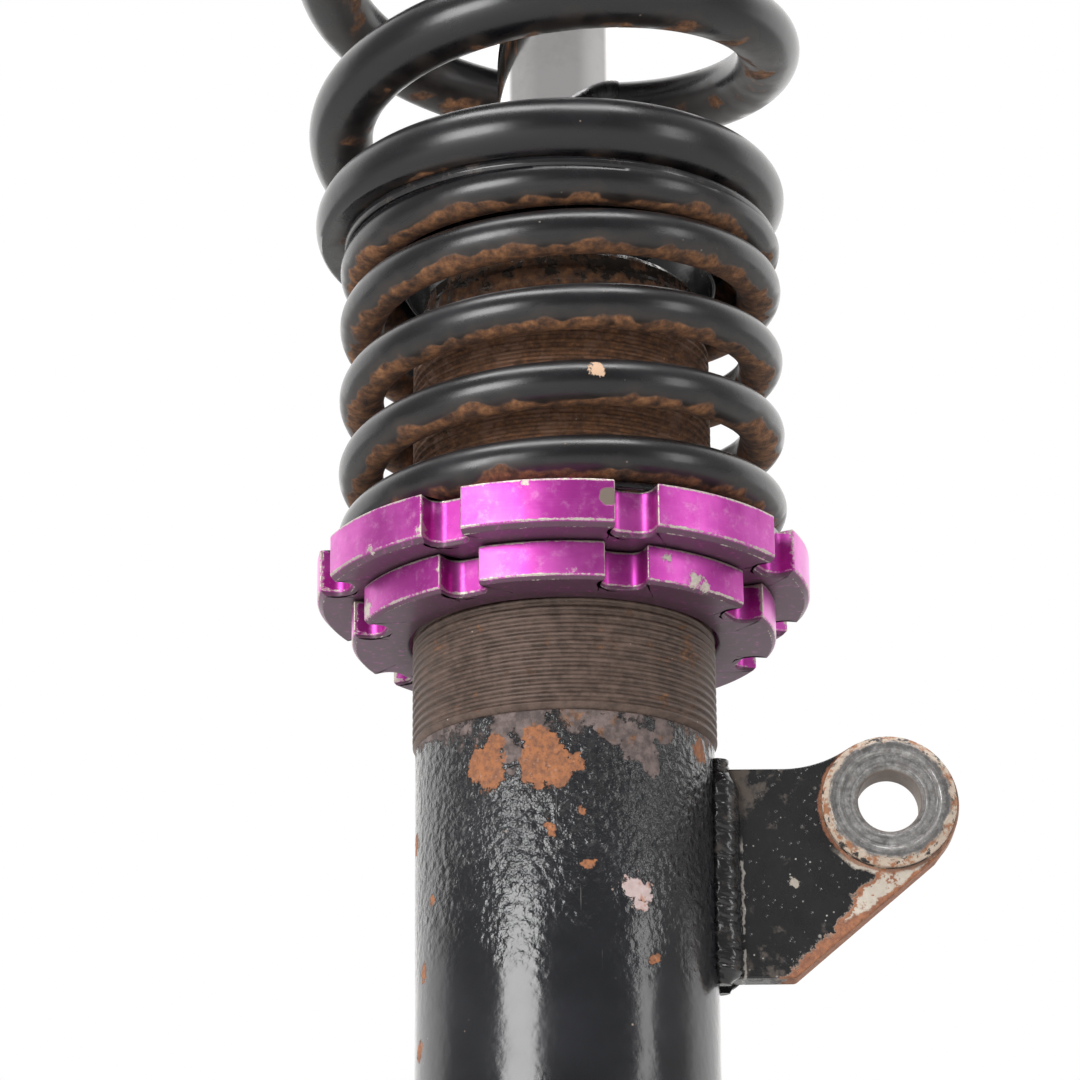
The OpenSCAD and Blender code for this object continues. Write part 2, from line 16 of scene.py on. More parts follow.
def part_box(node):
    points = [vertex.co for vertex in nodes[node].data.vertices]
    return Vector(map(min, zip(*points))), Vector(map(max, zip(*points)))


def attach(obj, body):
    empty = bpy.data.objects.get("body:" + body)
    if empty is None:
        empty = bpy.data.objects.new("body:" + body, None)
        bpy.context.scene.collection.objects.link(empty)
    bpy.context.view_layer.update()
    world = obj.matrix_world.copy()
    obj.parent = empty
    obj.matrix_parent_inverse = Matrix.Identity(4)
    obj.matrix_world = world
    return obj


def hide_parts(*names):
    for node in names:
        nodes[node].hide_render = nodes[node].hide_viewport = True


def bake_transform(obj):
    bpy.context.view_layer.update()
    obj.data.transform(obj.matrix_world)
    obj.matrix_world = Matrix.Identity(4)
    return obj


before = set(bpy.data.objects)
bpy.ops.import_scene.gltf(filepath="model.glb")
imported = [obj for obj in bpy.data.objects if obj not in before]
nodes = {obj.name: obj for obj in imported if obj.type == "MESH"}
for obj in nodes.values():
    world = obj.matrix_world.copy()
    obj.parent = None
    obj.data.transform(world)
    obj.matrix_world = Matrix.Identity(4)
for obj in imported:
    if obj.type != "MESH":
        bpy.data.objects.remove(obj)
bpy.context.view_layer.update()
MM = 0.001
TURN = 2 * math.pi


def size_of(node):
    """Smallest and largest radius about the strut's axis, and lowest and highest z, in mm."""
    spots = np.array([v.co for v in nodes[node].data.vertices]) / MM
    radii = np.hypot(spots[:, 0], spots[:, 1])
    return radii.min(), radii.max(), spots[:, 2].min(), spots[:, 2].max()


# %% [markdown]
# ## Wires and benches
# A finish and a shape are both trees of nodes. Adding those nodes one by one hides the idea, so a
# `Wire` wraps the output of a node and takes part in arithmetic: `1 - mask` adds a Math node. A
# `Bench` adds every other node from its type, its settings and what goes into its sockets.

# %% Wire and Bench
class Wire:
    """The output of a node, which takes part in arithmetic as a number does."""

    def __init__(self, bench, socket):
        self.bench = bench
        self.socket = socket

    def out(self, name):
        """Another output of the same node."""
        return Wire(self.bench, self.socket.node.outputs[name])

    def maths(self, operation, *parts):
        return self.bench.add("ShaderNodeMath", dict(enumerate(parts)), operation=operation)

    def __add__(self, other):
        return self.maths("ADD", self, other)

    def __radd__(self, other):
        return self.maths("ADD", other, self)

    def __sub__(self, other):
        return self.maths("SUBTRACT", self, other)

    def __rsub__(self, other):
        return self.maths("SUBTRACT", other, self)

    def __mul__(self, other):
        return self.maths("MULTIPLY", self, other)

    def __rmul__(self, other):
        return self.maths("MULTIPLY", other, self)

    def __truediv__(self, other):
        return self.maths("DIVIDE", self, other)

    def __abs__(self):
        return self.maths("ABSOLUTE", self)

    def at_most(self, other):
        return self.maths("MINIMUM", self, other)

    def at_least(self, other):
        return self.maths("MAXIMUM", self, other)


class Bench:
    """Adds nodes to one tree."""

    def __init__(self, tree):
        self.tree = tree

    def plug(self, socket, value):
        if isinstance(value, Wire):
            self.tree.links.new(value.socket, socket)
        elif socket.type == "RGBA":
            socket.default_value = (*value, 1.0)
        else:
            socket.default_value = value

    def add(self, kind, sockets=None, out=0, stops=None, **settings):
        """A node of this kind, and the wire from one of its outputs."""
        node = self.tree.nodes.new(kind)
        for name, value in settings.items():
            setattr(node, name, value)
        if stops:
            ramp = node.color_ramp
            while len(ramp.elements) < len(stops):
                ramp.elements.new(1.0)
            for element, (place, colour) in zip(ramp.elements, stops):
                element.position = place
                element.color = (*colour, 1.0)
        for key, value in (sockets or {}).items():
            self.plug(node.inputs[key], value)
        return Wire(self, node.outputs[out])

    def ease(self, value, low, high):
        """0 below low, 1 above high, and a smooth rise between; low may be the larger one."""
        sockets = {"Value": value, "From Min": low, "From Max": high}
        return self.add("ShaderNodeMapRange", sockets, interpolation_type="SMOOTHSTEP")

    def split(self, vector):
        """The three parts of a vector."""
        x = self.add("ShaderNodeSeparateXYZ", {0: vector})
        return x, x.out(1), x.out(2)

    def join(self, x, y, z):
        return self.add("ShaderNodeCombineXYZ", {0: x, 1: y, 2: z})

    def scaled(self, vector, factor):
        return self.add("ShaderNodeVectorMath", {0: vector, "Scale": factor}, operation="SCALE")


print("wire operations:", ", ".join(n for n in vars(Wire) if n.startswith("__r") or n == "__add__"))

# %% [markdown]
# ## Finishes
# A finish is a material tree. Its patterns read Object coordinates, scaled to millimetres, so a
# grain of 0.3 is 0.3 mm on the real piece whatever its shape. Every finish here is made of
# the same few ingredients: noise for grain and dirt, cells for pits and specks, smooth steps for
# masks, and a height in millimetres for the relief that is too fine to be modelled.

# %% Finish
class Finish(Bench):
    """One material under construction, with its patterns in millimetres."""

    def __init__(self, name, attribute=None):
        self.material = bpy.data.materials.new(name)
        self.material.use_nodes = True
        super().__init__(self.material.node_tree)
        self.tree.nodes.clear()
        if attribute:
            place = self.attribute(attribute, "Vector")
        else:
            place = self.add("ShaderNodeTexCoord", out="Object")
        self.place = self.scaled(place, 1 / MM)
        self.x, self.y, self.z = self.split(self.place)

    def attribute(self, name, out="Fac"):
        return self.add("ShaderNodeAttribute", out=out, attribute_name=name)

    def radius(self):
        """Distance from the strut's axis."""
        return (self.x * self.x + self.y * self.y).maths("SQRT", self.x * self.x + self.y * self.y)

    def noise(self, size, detail=3.0, roughness=0.55, place=None, distortion=0.0):
        sockets = {"Vector": place or self.place, "Scale": 1 / size, "Detail": detail,
                   "Roughness": roughness, "Distortion": distortion}
        return self.add("ShaderNodeTexNoise", sockets)

    def cells(self, size, place=None, out="Distance", feature="F1"):
        sockets = {"Vector": place or self.place, "Scale": 1 / size}
        return self.add("ShaderNodeTexVoronoi", sockets, out=out, feature=feature)

    def specks(self, size, spread, share):
        """Round specks of about this size, one in each of some cells of this spread."""
        sockets = {"Vector": self.place, "Scale": 1 / spread}
        dots = self.add("ShaderNodeTexVoronoi", sockets, out="Distance")
        chosen = self.ease(self.split(dots.out("Color"))[0], share, share - 0.02)
        return self.ease(dots, size / spread / 2, size / spread / 4) * chosen

    def spot(self, centre, reach):
        """How far inside a round spot of this reach a point lies, in mm, and less than 0 outside."""
        away = self.add("ShaderNodeVectorMath", {0: self.place, 1: centre}, out="Value",
                        operation="DISTANCE")
        return reach - away

    def spots(self, marks):
        """The nearest of several (centre, reach) spots."""
        best = None
        for centre, reach in marks:
            here = self.spot(centre, reach)
            best = here if best is None else best.at_least(here)
        return best

    def blend(self, first, second, factor):
        """Colour first where factor is 0, second where it is 1."""
        return self.add("ShaderNodeMix", {0: factor, 6: first, 7: second}, out=2, data_type="RGBA")

    def level(self, first, second, factor):
        """Number first where factor is 0, second where it is 1."""
        return self.add("ShaderNodeMix", {0: factor, 2: first, 3: second}, data_type="FLOAT")

    def done(self, colour, roughness, metallic=0.0, height=None, coat=0.0, coat_roughness=0.1):
        """The shader itself. The height is in millimetres."""
        sockets = {"Base Color": colour, "Roughness": roughness, "Metallic": metallic,
                   "Coat Weight": coat, "Coat Roughness": coat_roughness}
        if height is not None:
            sockets["Normal"] = self.add("ShaderNodeBump", {"Height": height, "Distance": MM})
        shader = self.add("ShaderNodeBsdfPrincipled", sockets)
        self.add_output(shader)
        return self.material

    def add_output(self, shader):
        output = self.tree.nodes.new("ShaderNodeOutputMaterial")
        self.plug(output.inputs["Surface"], shader)


# %% [markdown]
# ## Meshes
# Nearly every piece of a strut is turned on a lathe, and the others are loops of points that
# follow each other. So one function skins rings of points, and closes them. Sharp corners never
# look real: each corner of an outline carries the radius of its fillet.

# %% Outlines
def soften(outline, step=18):
    """A closed outline of [a, b, radius] corners as points, with each corner an arc."""
    smooth = []
    count = len(outline)
    for i, (a, b, radius) in enumerate(outline):
        here = Vector((a, b))
        back = Vector(outline[i - 1][:2]) - here
        on = Vector(outline[(i + 1) % count][:2]) - here
        opening = back.angle(on)
        if radius == 0 or opening > math.pi - 0.02:
            smooth.append((a, b))
            continue
        run = radius / math.tan(opening / 2)
        limit = 0.499 * min(back.length, on.length)
        if run > limit:
            radius *= limit / run
            run = limit
        centre = here + (back.normalized() + on.normalized()).normalized() * radius / math.sin(opening / 2)
        start = here + back.normalized() * run - centre
        sweep = start.angle_signed(here + on.normalized() * run - centre)
        parts = max(2, math.ceil(math.degrees(abs(sweep)) / step))
        for k in range(parts + 1):
            turn = -sweep * k / parts
            smooth.append((centre.x + start.x * math.cos(turn) - start.y * math.sin(turn),
                           centre.y + start.x * math.sin(turn) + start.y * math.cos(turn)))
    return smooth


# %% Skins
def loop_at(radii, angles, z):
    """A loop of points round the axis, from its radii, its angles and its height."""
    return np.column_stack([radii * np.cos(angles), radii * np.sin(angles), np.full(len(angles), z)])


def show(name, mesh, finish):
    """An object for a mesh, with its finish."""
    piece = bpy.data.objects.new(name, mesh)
    bpy.context.scene.collection.objects.link(piece)
    mesh.materials.clear()
    mesh.materials.append(finish)
    return piece


def skin(name, rings, finish, closed=True, sharp=32, marks=None):
    """A closed mesh over rings of points in mm. If closed, the last ring meets the first, and
    otherwise both ends are capped. marks are values for the points, stored as an attribute."""
    rings = np.asarray(rings, float)
    count, sides = rings.shape[:2]
    index = np.arange(count * sides).reshape(count, sides)
    following = np.roll(index, -1, 0) if closed else index[1:]
    near = index if closed else index[:-1]
    quads = np.stack([near, np.roll(near, -1, 1), np.roll(following, -1, 1), following], -1)
    faces = quads.reshape(-1, 4).tolist()
    if not closed:
        faces += [index[0].tolist()[::-1], index[-1].tolist()]
    mesh = bpy.data.meshes.new(name)
    mesh.from_pydata((rings * MM).reshape(-1, 3).tolist(), [], faces)
    for key, values in (marks or {}).items():
        layer = mesh.attributes.new(key, "FLOAT", "POINT")
        layer.data.foreach_set("value", np.asarray(values, np.float32).ravel())
    tidy(mesh, sharp)
    piece = show(name, mesh, finish)
    piece.modifiers.new("even shading", "WEIGHTED_NORMAL").keep_sharp = True
    return bake(piece)


def tidy(mesh, sharp=32):
    """Doubles merged, loose edges dropped, faces outwards, corners over the angle kept sharp."""
    form = bmesh.new()
    form.from_mesh(mesh)
    bmesh.ops.remove_doubles(form, verts=form.verts, dist=1e-7)
    bmesh.ops.delete(form, geom=[e for e in form.edges if not e.link_faces], context="EDGES")
    bmesh.ops.recalc_face_normals(form, faces=form.faces)
    form.to_mesh(mesh)
    form.free()
    mesh.shade_smooth()
    mesh.set_sharp_from_angle(angle=math.radians(sharp))


def bake(piece):
    """The piece with its modifiers worked into a plain mesh."""
    graph = bpy.context.evaluated_depsgraph_get()
    result = bpy.data.meshes.new_from_object(piece.evaluated_get(graph), depsgraph=graph,
                                             preserve_all_data_layers=True)
    finish = piece.data.materials[0]
    piece.modifiers.clear()
    piece.data = result
    result.materials.clear()
    result.materials.append(finish)
    return piece


def lathe(name, outline, finish, sides=160, sharp=32, centre=(0, 0, 0), along="Z"):
    """A piece turned from a closed outline of [radius, height, fillet] corners."""
    profile = np.array(soften(outline))
    angles = np.arange(sides) * TURN / sides
    across = profile[:, :1] * np.cos(angles)
    beside = profile[:, :1] * np.sin(angles)
    height = np.repeat(profile[:, 1:], sides, 1)
    order = (across, beside, height) if along == "Z" else (across, height, beside)
    return skin(name, np.stack(order, -1) + np.array(centre), finish, sharp=sharp)


def settle(piece, body, slot, *stands_for):
    """The piece rides on a body and stands for CAD nodes, which it hides. The slot is not used."""
    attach(piece, body)
    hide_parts(*stands_for)
    print(piece.name, "rides on", body, "with", len(piece.data.polygons), "faces")
    return piece


# %% [markdown]
# ## The camera and the studio
# The strut is seen from below and in front through a long lens, about 0.66 m away. The studio is a
# white room: a bright wall behind the strut gives every black edge its white rim, a tall soft
# light at the left draws the broad streak on the tube, and soft light overhead draws the streaks
# on top of the coils. The camera sees plain white, and what the metal reflects is shaped apart.

# %% Camera
EYE = (0.0, -661.2, 24.8)
YAW, PITCH, ROLL = -0.006, 0.347, -0.008
ahead = Vector((math.sin(YAW) * math.cos(PITCH), math.cos(YAW) * math.cos(PITCH), math.sin(PITCH)))
level = Vector((math.cos(YAW), -math.sin(YAW), 0))
upright = level.cross(ahead)
right = math.cos(ROLL) * level + math.sin(ROLL) * upright
up = math.cos(ROLL) * upright - math.sin(ROLL) * level
lens = bpy.data.cameras.new("camera")
lens.sensor_width = 36
lens.lens = 134.96
lens.clip_start = 0.02
lens.clip_end = 30
camera = bpy.data.objects.new("camera", lens)
camera.matrix_world = Matrix.Translation(Vector(EYE) * MM) @ Matrix((right, up, -ahead)).transposed().to_4x4()
bpy.context.scene.collection.objects.link(camera)
bpy.context.scene.camera = camera
bpy.context.scene.view_settings.view_transform = "Standard"

# %% Studio walls
world = bpy.data.worlds.new("studio")
world.use_nodes = True
world.node_tree.nodes.clear()
bpy.context.scene.world = world
walls = Bench(world.node_tree)
east, north, high = walls.split(walls.add("ShaderNodeTexCoord", out="Generated"))
backdrop = walls.ease(north, 0.08, 0.42) * 1.35
ceiling = walls.ease(high, 0.5, 0.95) * 0.3
flank = walls.ease(east, 0.5, 0.95) * 0.20 + walls.ease(east, -0.5, -0.95) * 0.12
glow = backdrop + ceiling + flank + 0.36
reflected = walls.add("ShaderNodeBackground", {"Color": (1.0, 0.99, 0.98), "Strength": glow})
seen = walls.add("ShaderNodeBackground", {"Color": (1.0, 1.0, 1.0), "Strength": 1.0})
is_seen = walls.add("ShaderNodeLightPath", out="Is Camera Ray")
both = walls.add("ShaderNodeMixShader", {0: is_seen, 1: reflected, 2: seen})
walls.plug(world.node_tree.nodes.new("ShaderNodeOutputWorld").inputs["Surface"], both)

# %% Soft lights
def soft_light(name, bearing, rise, distance, width, height, power):
    """A soft box that faces the strut. The bearing is measured from the camera's side, + to +X."""
    lamp = bpy.data.lights.new(name, "AREA")
    lamp.shape = "RECTANGLE"
    lamp.size = width
    lamp.size_y = height
    lamp.energy = power
    holder = bpy.data.objects.new(name, lamp)
    aim = Vector((0, 0, 0.27))
    turn, tilt = math.radians(bearing), math.radians(rise)
    out = Vector((math.sin(turn) * math.cos(tilt), -math.cos(turn) * math.cos(tilt), math.sin(tilt)))
    holder.location = aim + out * distance
    holder.rotation_euler = out.to_track_quat("Z", "Y").to_euler()
    holder.visible_camera = False
    bpy.context.scene.collection.objects.link(holder)


soft_light("key", -35, 6, 1.3, 0.62, 0.62, 14)
soft_light("side", 60, 8, 1.4, 0.28, 0.8, 3.5)
soft_light("overhead_left", -42, 68, 1.2, 0.75, 0.32, 7)
soft_light("overhead_right", 30, 64, 1.2, 0.5, 0.32, 5)

# %% Floor
FLOOR_HALF = 6.0
FLOOR_DROP = 0.0008
pale = Finish("floor")
pale_tone = pale.blend((0.58, 0.58, 0.57), (0.63, 0.63, 0.62), pale.noise(400.0))
floor_finish = pale.done(pale_tone, 0.75)
ground = bpy.data.meshes.new("floor")
corners = [(-1, -1), (1, -1), (1, 1), (-1, 1)]
ground.from_pydata([(FLOOR_HALF * a, FLOOR_HALF * b, -FLOOR_DROP) for a, b in corners], [], [(0, 1, 2, 3)])
floor = show("floor", ground, floor_finish)

# %% [markdown]
# ## Shapes that follow a rule
# A coil spring, a thread, a weld bead and a ring of studs each follow a short rule, so Geometry
# Nodes make them. `shape_tree` starts a tree with named inputs, and `grow` puts it on a
# piece as a modifier, gives it its sizes, and turns the result into a plain mesh.

# %% Shape trees
def shape_tree(name, inputs):
    """A new Geometry Nodes tree with these number inputs. Returns its bench and their wires."""
    tree = bpy.data.node_groups.new(name, "GeometryNodeTree")
    face = tree.interface
    face.new_socket("Geometry", in_out="OUTPUT", socket_type="NodeSocketGeometry")
    face.new_socket("Geometry", in_out="INPUT", socket_type="NodeSocketGeometry")
    for label in inputs:
        face.new_socket(label, in_out="INPUT", socket_type="NodeSocketFloat")
    face.new_socket("Finish", in_out="INPUT", socket_type="NodeSocketMaterial")
    bench = Bench(tree)
    entry = bench.add("NodeGroupInput")
    return bench, {socket.name: Wire(bench, socket) for socket in entry.socket.node.outputs if socket.name}


def end_tree(bench, geometry, finish):
    """Realize Instances, Set Material and the way out."""
    real = bench.add("GeometryNodeRealizeInstances", {0: geometry})
    dressed = bench.add("GeometryNodeSetMaterial", {"Geometry": real, "Material": finish})
    bench.plug(bench.tree.nodes.new("NodeGroupOutput").inputs[0], dressed)
    return bench.tree


def keep(bench, geometry, name, value, kind="FLOAT"):
    """Stores a value for each point under a name that a finish can read."""
    sockets = {"Geometry": geometry, "Name": name, "Value": value}
    return bench.add("GeometryNodeStoreNamedAttribute", sockets, data_type=kind, domain="POINT")


def grow(piece, tree, sharp=32, **sizes):
    """The piece after this tree has shaped it, as a plain mesh."""
    modifier = piece.modifiers.new(tree.name, "NODES")
    modifier.node_group = tree
    given = dict(sizes, Finish=piece.data.materials[0])
    for item in tree.interface.items_tree:
        if item.in_out == "INPUT" and item.name in given:
            modifier[item.identifier] = given.pop(item.name)
    assert not given, f"{tree.name} has no inputs named {sorted(given)}"
    bake(piece)
    tidy(piece.data, sharp)
    return piece


# %% [markdown]
# ## Coil springs
# A closed and ground spring has three stretches: a nearly flat end turn, the free turns, and
# another flat end. The height of the wire is a sum of eased ramps over the turn number, so one
# tree makes both springs. The wire is a curve with a round section, and the ends are ground by
# holding every point between the two seats. The tree also stores where a point lies round the
# wire, because dirt and rust gather on its underside and its inner side.

# %% Coil tree
def eased_wires(turn, start, ease):
    """Turns run past start, after an eased start of this length."""
    part = ((turn - start) / ease).at_least(0.0).at_most(1.0)
    return (turn - start - ease).at_least(0.0) + part * part * ease * 0.5


COIL_INPUTS = ["Wire", "Turns", "Base", "Height", "Drop", "Closed rise", "Live rise", "Low turns",
               "High turns", "Start", "Low radius", "Flare", "Flare turn", "High radius", "Lean",
               "Ease", "Rings"]


def coil_tree(sides):
    bench, given = shape_tree("coil", COIL_INPUTS)
    row = bench.add("GeometryNodeCurvePrimitiveLine", {"End": (0, 0, 1)})
    row = bench.add("GeometryNodeResampleCurve", {"Curve": row, "Count": given["Rings"] + 1})
    turn = bench.add("GeometryNodeInputIndex") * given["Turns"] / given["Rings"]
    ease = given["Ease"]
    low = eased_wires(turn, given["Low turns"] - ease / 2, ease)
    high = eased_wires(turn, given["Turns"] - given["High turns"] - ease / 2, ease)
    rise = given["Closed rise"] * turn + given["Live rise"] * (low - high)
    radius = given["Low radius"] + given["Flare"] * (turn - given["Flare turn"]).at_least(0.0)
    radius = radius.at_most(given["High radius"])
    angle = given["Start"] + turn * TURN
    across = radius * angle.maths("COSINE", angle) - given["Lean"] * (1 - turn / given["Turns"])
    line = bench.join(across, radius * angle.maths("SINE", angle), given["Base"] - given["Drop"] + rise)
    row = bench.add("GeometryNodeSetPosition", {"Geometry": row, "Position": line})
    row = bench.add("GeometryNodeSetCurveNormal", {"Curve": row}, mode="Z_UP")
    row = keep(bench, row, "turn", turn)
    row = keep(bench, row, "heart", line, "FLOAT_VECTOR")
    section = bench.add("GeometryNodeCurvePrimitiveCircle",
                        {"Resolution": sides, "Radius": given["Wire"] / 2})
    wire = bench.add("GeometryNodeCurveToMesh", {"Curve": row, "Profile Curve": section,
                                                 "Fill Caps": True})
    heart = bench.add("GeometryNodeInputNamedAttribute", {"Name": "heart"},
                      data_type="FLOAT_VECTOR")
    x, y, z = bench.split(bench.add("GeometryNodeInputPosition"))
    heart_x, heart_y, heart_z = bench.split(heart)
    radial = (x * x + y * y).maths("SQRT", x * x + y * y)
    heart_radial = radial.maths("SQRT", heart_x * heart_x + heart_y * heart_y)
    wire = keep(bench, wire, "outward", (radial - heart_radial) / given["Wire"] * 2)
    wire = keep(bench, wire, "upward", (z - heart_z) / given["Wire"] * 2)
    ground = z.at_least(given["Base"]).at_most(given["Base"] + given["Height"])
    wire = bench.add("GeometryNodeSetPosition", {"Geometry": wire, "Position": bench.join(x, y, ground)})
    wire = keep(bench, wire, "place", bench.add("GeometryNodeInputPosition"), "FLOAT_VECTOR")
    wire = bench.add("GeometryNodeRemoveAttribute", {"Geometry": wire, "Name": "heart"})
    return end_tree(bench, wire, given["Finish"])


COIL = coil_tree(sides=40)


def eased(turn, start, ease):
    part = min(1.0, max(0.0, (turn - start) / ease))
    return max(0.0, turn - start - ease) + part * part * ease / 2


def spring(name, finish, base, height, wire, turns, dead, drop, start, radii, lean, rings):
    """A spring between two seats. dead is the closed turns at each end, and radii the lower
    radius, the growth for each turn, the turn where it begins, and the upper radius."""
    gap, ease = 0.45, 0.5
    live = turns - sum(dead)
    climb = height + 2 * drop
    lift = eased(1, dead[0] - ease / 2, ease)
    closed = (wire + gap - climb * lift / live) / (1 - turns * lift / live)
    blank = show(name, bpy.data.meshes.new(name), finish)
    sizes = {"Wire": wire, "Base": base, "Height": height, "Drop": drop, "Closed rise": closed,
             "Live rise": (climb - closed * turns) / live, "Low radius": radii[0],
             "Flare": radii[1], "High radius": radii[3], "Lean": lean}
    plain = {"Turns": turns, "Low turns": dead[0], "High turns": dead[1], "Ease": ease,
             "Start": math.radians(start), "Flare turn": radii[2], "Rings": float(rings)}
    return grow(blank, COIL, 50, **{k: v * MM for k, v in sizes.items()}, **plain)


# %% [markdown]
# ## The spring coat
# Both springs are powder-coated black: a satin gloss with a blue-grey bloom of dust. Where stones
# and salt work from below, the coat on the underside has gone and rust has taken its place. The
# rust mask grows from where the point lies round the wire, broken up by noise.

# %% Spring finish
def rust_colour(f, size=1.6):
    """Rust from dark brown to orange, in patches of this size."""
    patches = f.noise(size, 5.0, 0.65)
    stops = [(0.30, (0.028, 0.013, 0.008)), (0.45, (0.088, 0.040, 0.020)),
             (0.57, (0.180, 0.078, 0.032)), (0.70, (0.290, 0.138, 0.062))]
    return f.add("ShaderNodeValToRGB", {0: patches}, stops=stops)


def spring_coat(name, rust_from, inner_share, chips):
    """Black powder coat. rust_from is how far below the wire's middle rust begins, from 0 to 1."""
    f = Finish(name, "place")
    outward = f.attribute("outward")
    upward = f.attribute("upward")
    drift = f.noise(15.0, 3.0, 0.6) + f.noise(6.5, 2.0, 0.5) - 1
    edge = f.noise(1.3, 5.0, 0.75) - 0.5
    exposed = (0 - upward) + (0 - outward) * inner_share + drift * 1.5 + edge * 0.14
    rust = f.ease(exposed, rust_from - 0.02, rust_from + 0.16)
    film = f.ease(exposed, rust_from - 0.60, rust_from + 0.1)
    dust = f.ease(f.noise(14.0, 5.0, 0.6) + upward * 0.2, 0.45, 0.85)
    black = f.blend((0.003, 0.003, 0.004), (0.008, 0.008, 0.010), dust)
    black = f.blend(black, (0.042, 0.029, 0.022), film * f.noise(2.4, 5.0, 0.7) * 0.8)
    flecks = f.specks(0.5, 3.4, 0.20).at_least(f.specks(0.9, 8.5, 0.14))
    black = f.blend(black, (0.22, 0.17, 0.13), flecks * 0.6)
    colour = f.blend(black, rust_colour(f, 2.2), rust)
    chipped = f.ease(f.spots(chips) + (f.noise(1.2, 5.0, 0.7) - 0.5) * 3, 0.0, 0.3)
    colour = f.blend(colour, (0.50, 0.33, 0.22), chipped)
    gloss = f.level(0.24, 0.36, dust * 0.8 + f.noise(0.7, 2.0) * 0.3)
    rough = f.level(gloss, 0.85, rust.at_least(flecks * 0.7).at_least(film * 0.4).at_least(chipped))
    peel = f.noise(2.4, 2.0) * 0.020 + f.noise(0.5, 2.0) * 0.003
    relief = peel * (1 - rust) + rust * (f.noise(0.7, 5.0, 0.75) * 0.14 - 0.09)
    return f.done(colour, rough, 0.0, relief, 0.0)


helper_coat = spring_coat("helper_coat", 0.50, 0.42,
                          [((5.9, -38.1, 280.1), 1.5), ((-20.0, 33.0, 291.0), 1.6)])
main_coat = spring_coat("main_coat", 1.10, 0.50,
                        [((-2.0, -47.0, 330.5), 1.2), ((30.0, 31.0, 380.0), 1.8)])

# %% Helper spring
HELPER_WIRE = 7.8
thread_bore, thread_r, thread_z0, neck_top = size_of("threaded_tube")
helper_out, helper_z0, helper_z1 = size_of("helper_spring")[1:]
helper_r = helper_out - HELPER_WIRE / 2
helper = spring("helper_coil", helper_coat, helper_z0, helper_z1 - helper_z0, HELPER_WIRE, 5.43,
                (1, 1.23), HELPER_WIRE * 0.244, -83, (helper_r, 0, 0, helper_r), 0, 640)
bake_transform(helper)
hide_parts("helper_spring")
print("helper spring", round(helper_r, 2), "mm mean radius", len(helper.data.polygons), "faces")

# %% Main spring
MAIN_WIRE = 11.4
MAIN_LOW_R = 36.0
main_out, main_z0, main_z1 = size_of("main_spring")[1:]
main_r = main_out - MAIN_WIRE / 2
main = spring("main_coil", main_coat, main_z0, main_z1 - main_z0, MAIN_WIRE, 5.8, (0.93, 0.93),
              MAIN_WIRE * -0.08, 90, (MAIN_LOW_R, 3.4, 0.75, main_r), 1.85, 720)
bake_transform(main)
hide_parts("main_spring")
print("main spring", round(main_r, 2), "mm upper mean radius", len(main.data.polygons), "faces")

# %% [markdown]
# ## The spring rings
# The adjuster collar and the lock ring are turned from aluminium, slotted for a hooked spanner and
# anodised. A ring is one closed outline in plan with its spanner notches, repeated at several
# heights: lower loops are drawn in for the chamfer and the broken edges. Points on an edge are
# marked, so that the finish can rub the colour off there and nowhere else.

# %% Notched ring
NOTCHES = 8
NOTCH_W = 7.3
NOTCH_DEPTH = 4.8
NOTCH_PHASE = 16.7
RING_BREAK = 0.22


def notched_plan(radius):
    """Closed plan outline of a ring with its notches, as points."""
    corners = []
    half = NOTCH_W / 2
    mouth = math.sqrt(radius * radius - half * half)
    land = math.degrees(math.asin(half / radius))
    pitch = 360 / NOTCHES
    for i in range(NOTCHES):
        turn = math.radians(NOTCH_PHASE + i * pitch)
        for depth, side, fillet in ((mouth, -half, 0.45), (radius - NOTCH_DEPTH, -half, half),
                                    (radius - NOTCH_DEPTH, half, half), (mouth, half, 0.45)):
            corners.append((depth * math.cos(turn) - side * math.sin(turn),
                            depth * math.sin(turn) + side * math.cos(turn), fillet))
        arc = np.array([land + 0.8, *np.linspace(land + 2.5, pitch - land - 2.5, 13), pitch - land - 0.8])
        arc += NOTCH_PHASE + i * pitch
        corners += [(radius * math.cos(a), radius * math.sin(a), 0) for a in np.radians(arc)]
    return np.array(soften(corners, 9))


def drawn_in(plan, inset):
    """The plan outline moved inwards by this much."""
    before, after = np.roll(plan, 1, 0) - plan, np.roll(plan, -1, 0) - plan
    before /= np.linalg.norm(before, axis=1, keepdims=True)
    after /= np.linalg.norm(after, axis=1, keepdims=True)
    normal = np.stack([-after[:, 1], after[:, 0]], 1) + np.stack([before[:, 1], -before[:, 0]], 1)
    normal /= np.linalg.norm(normal, axis=1, keepdims=True)
    return plan + normal * inset


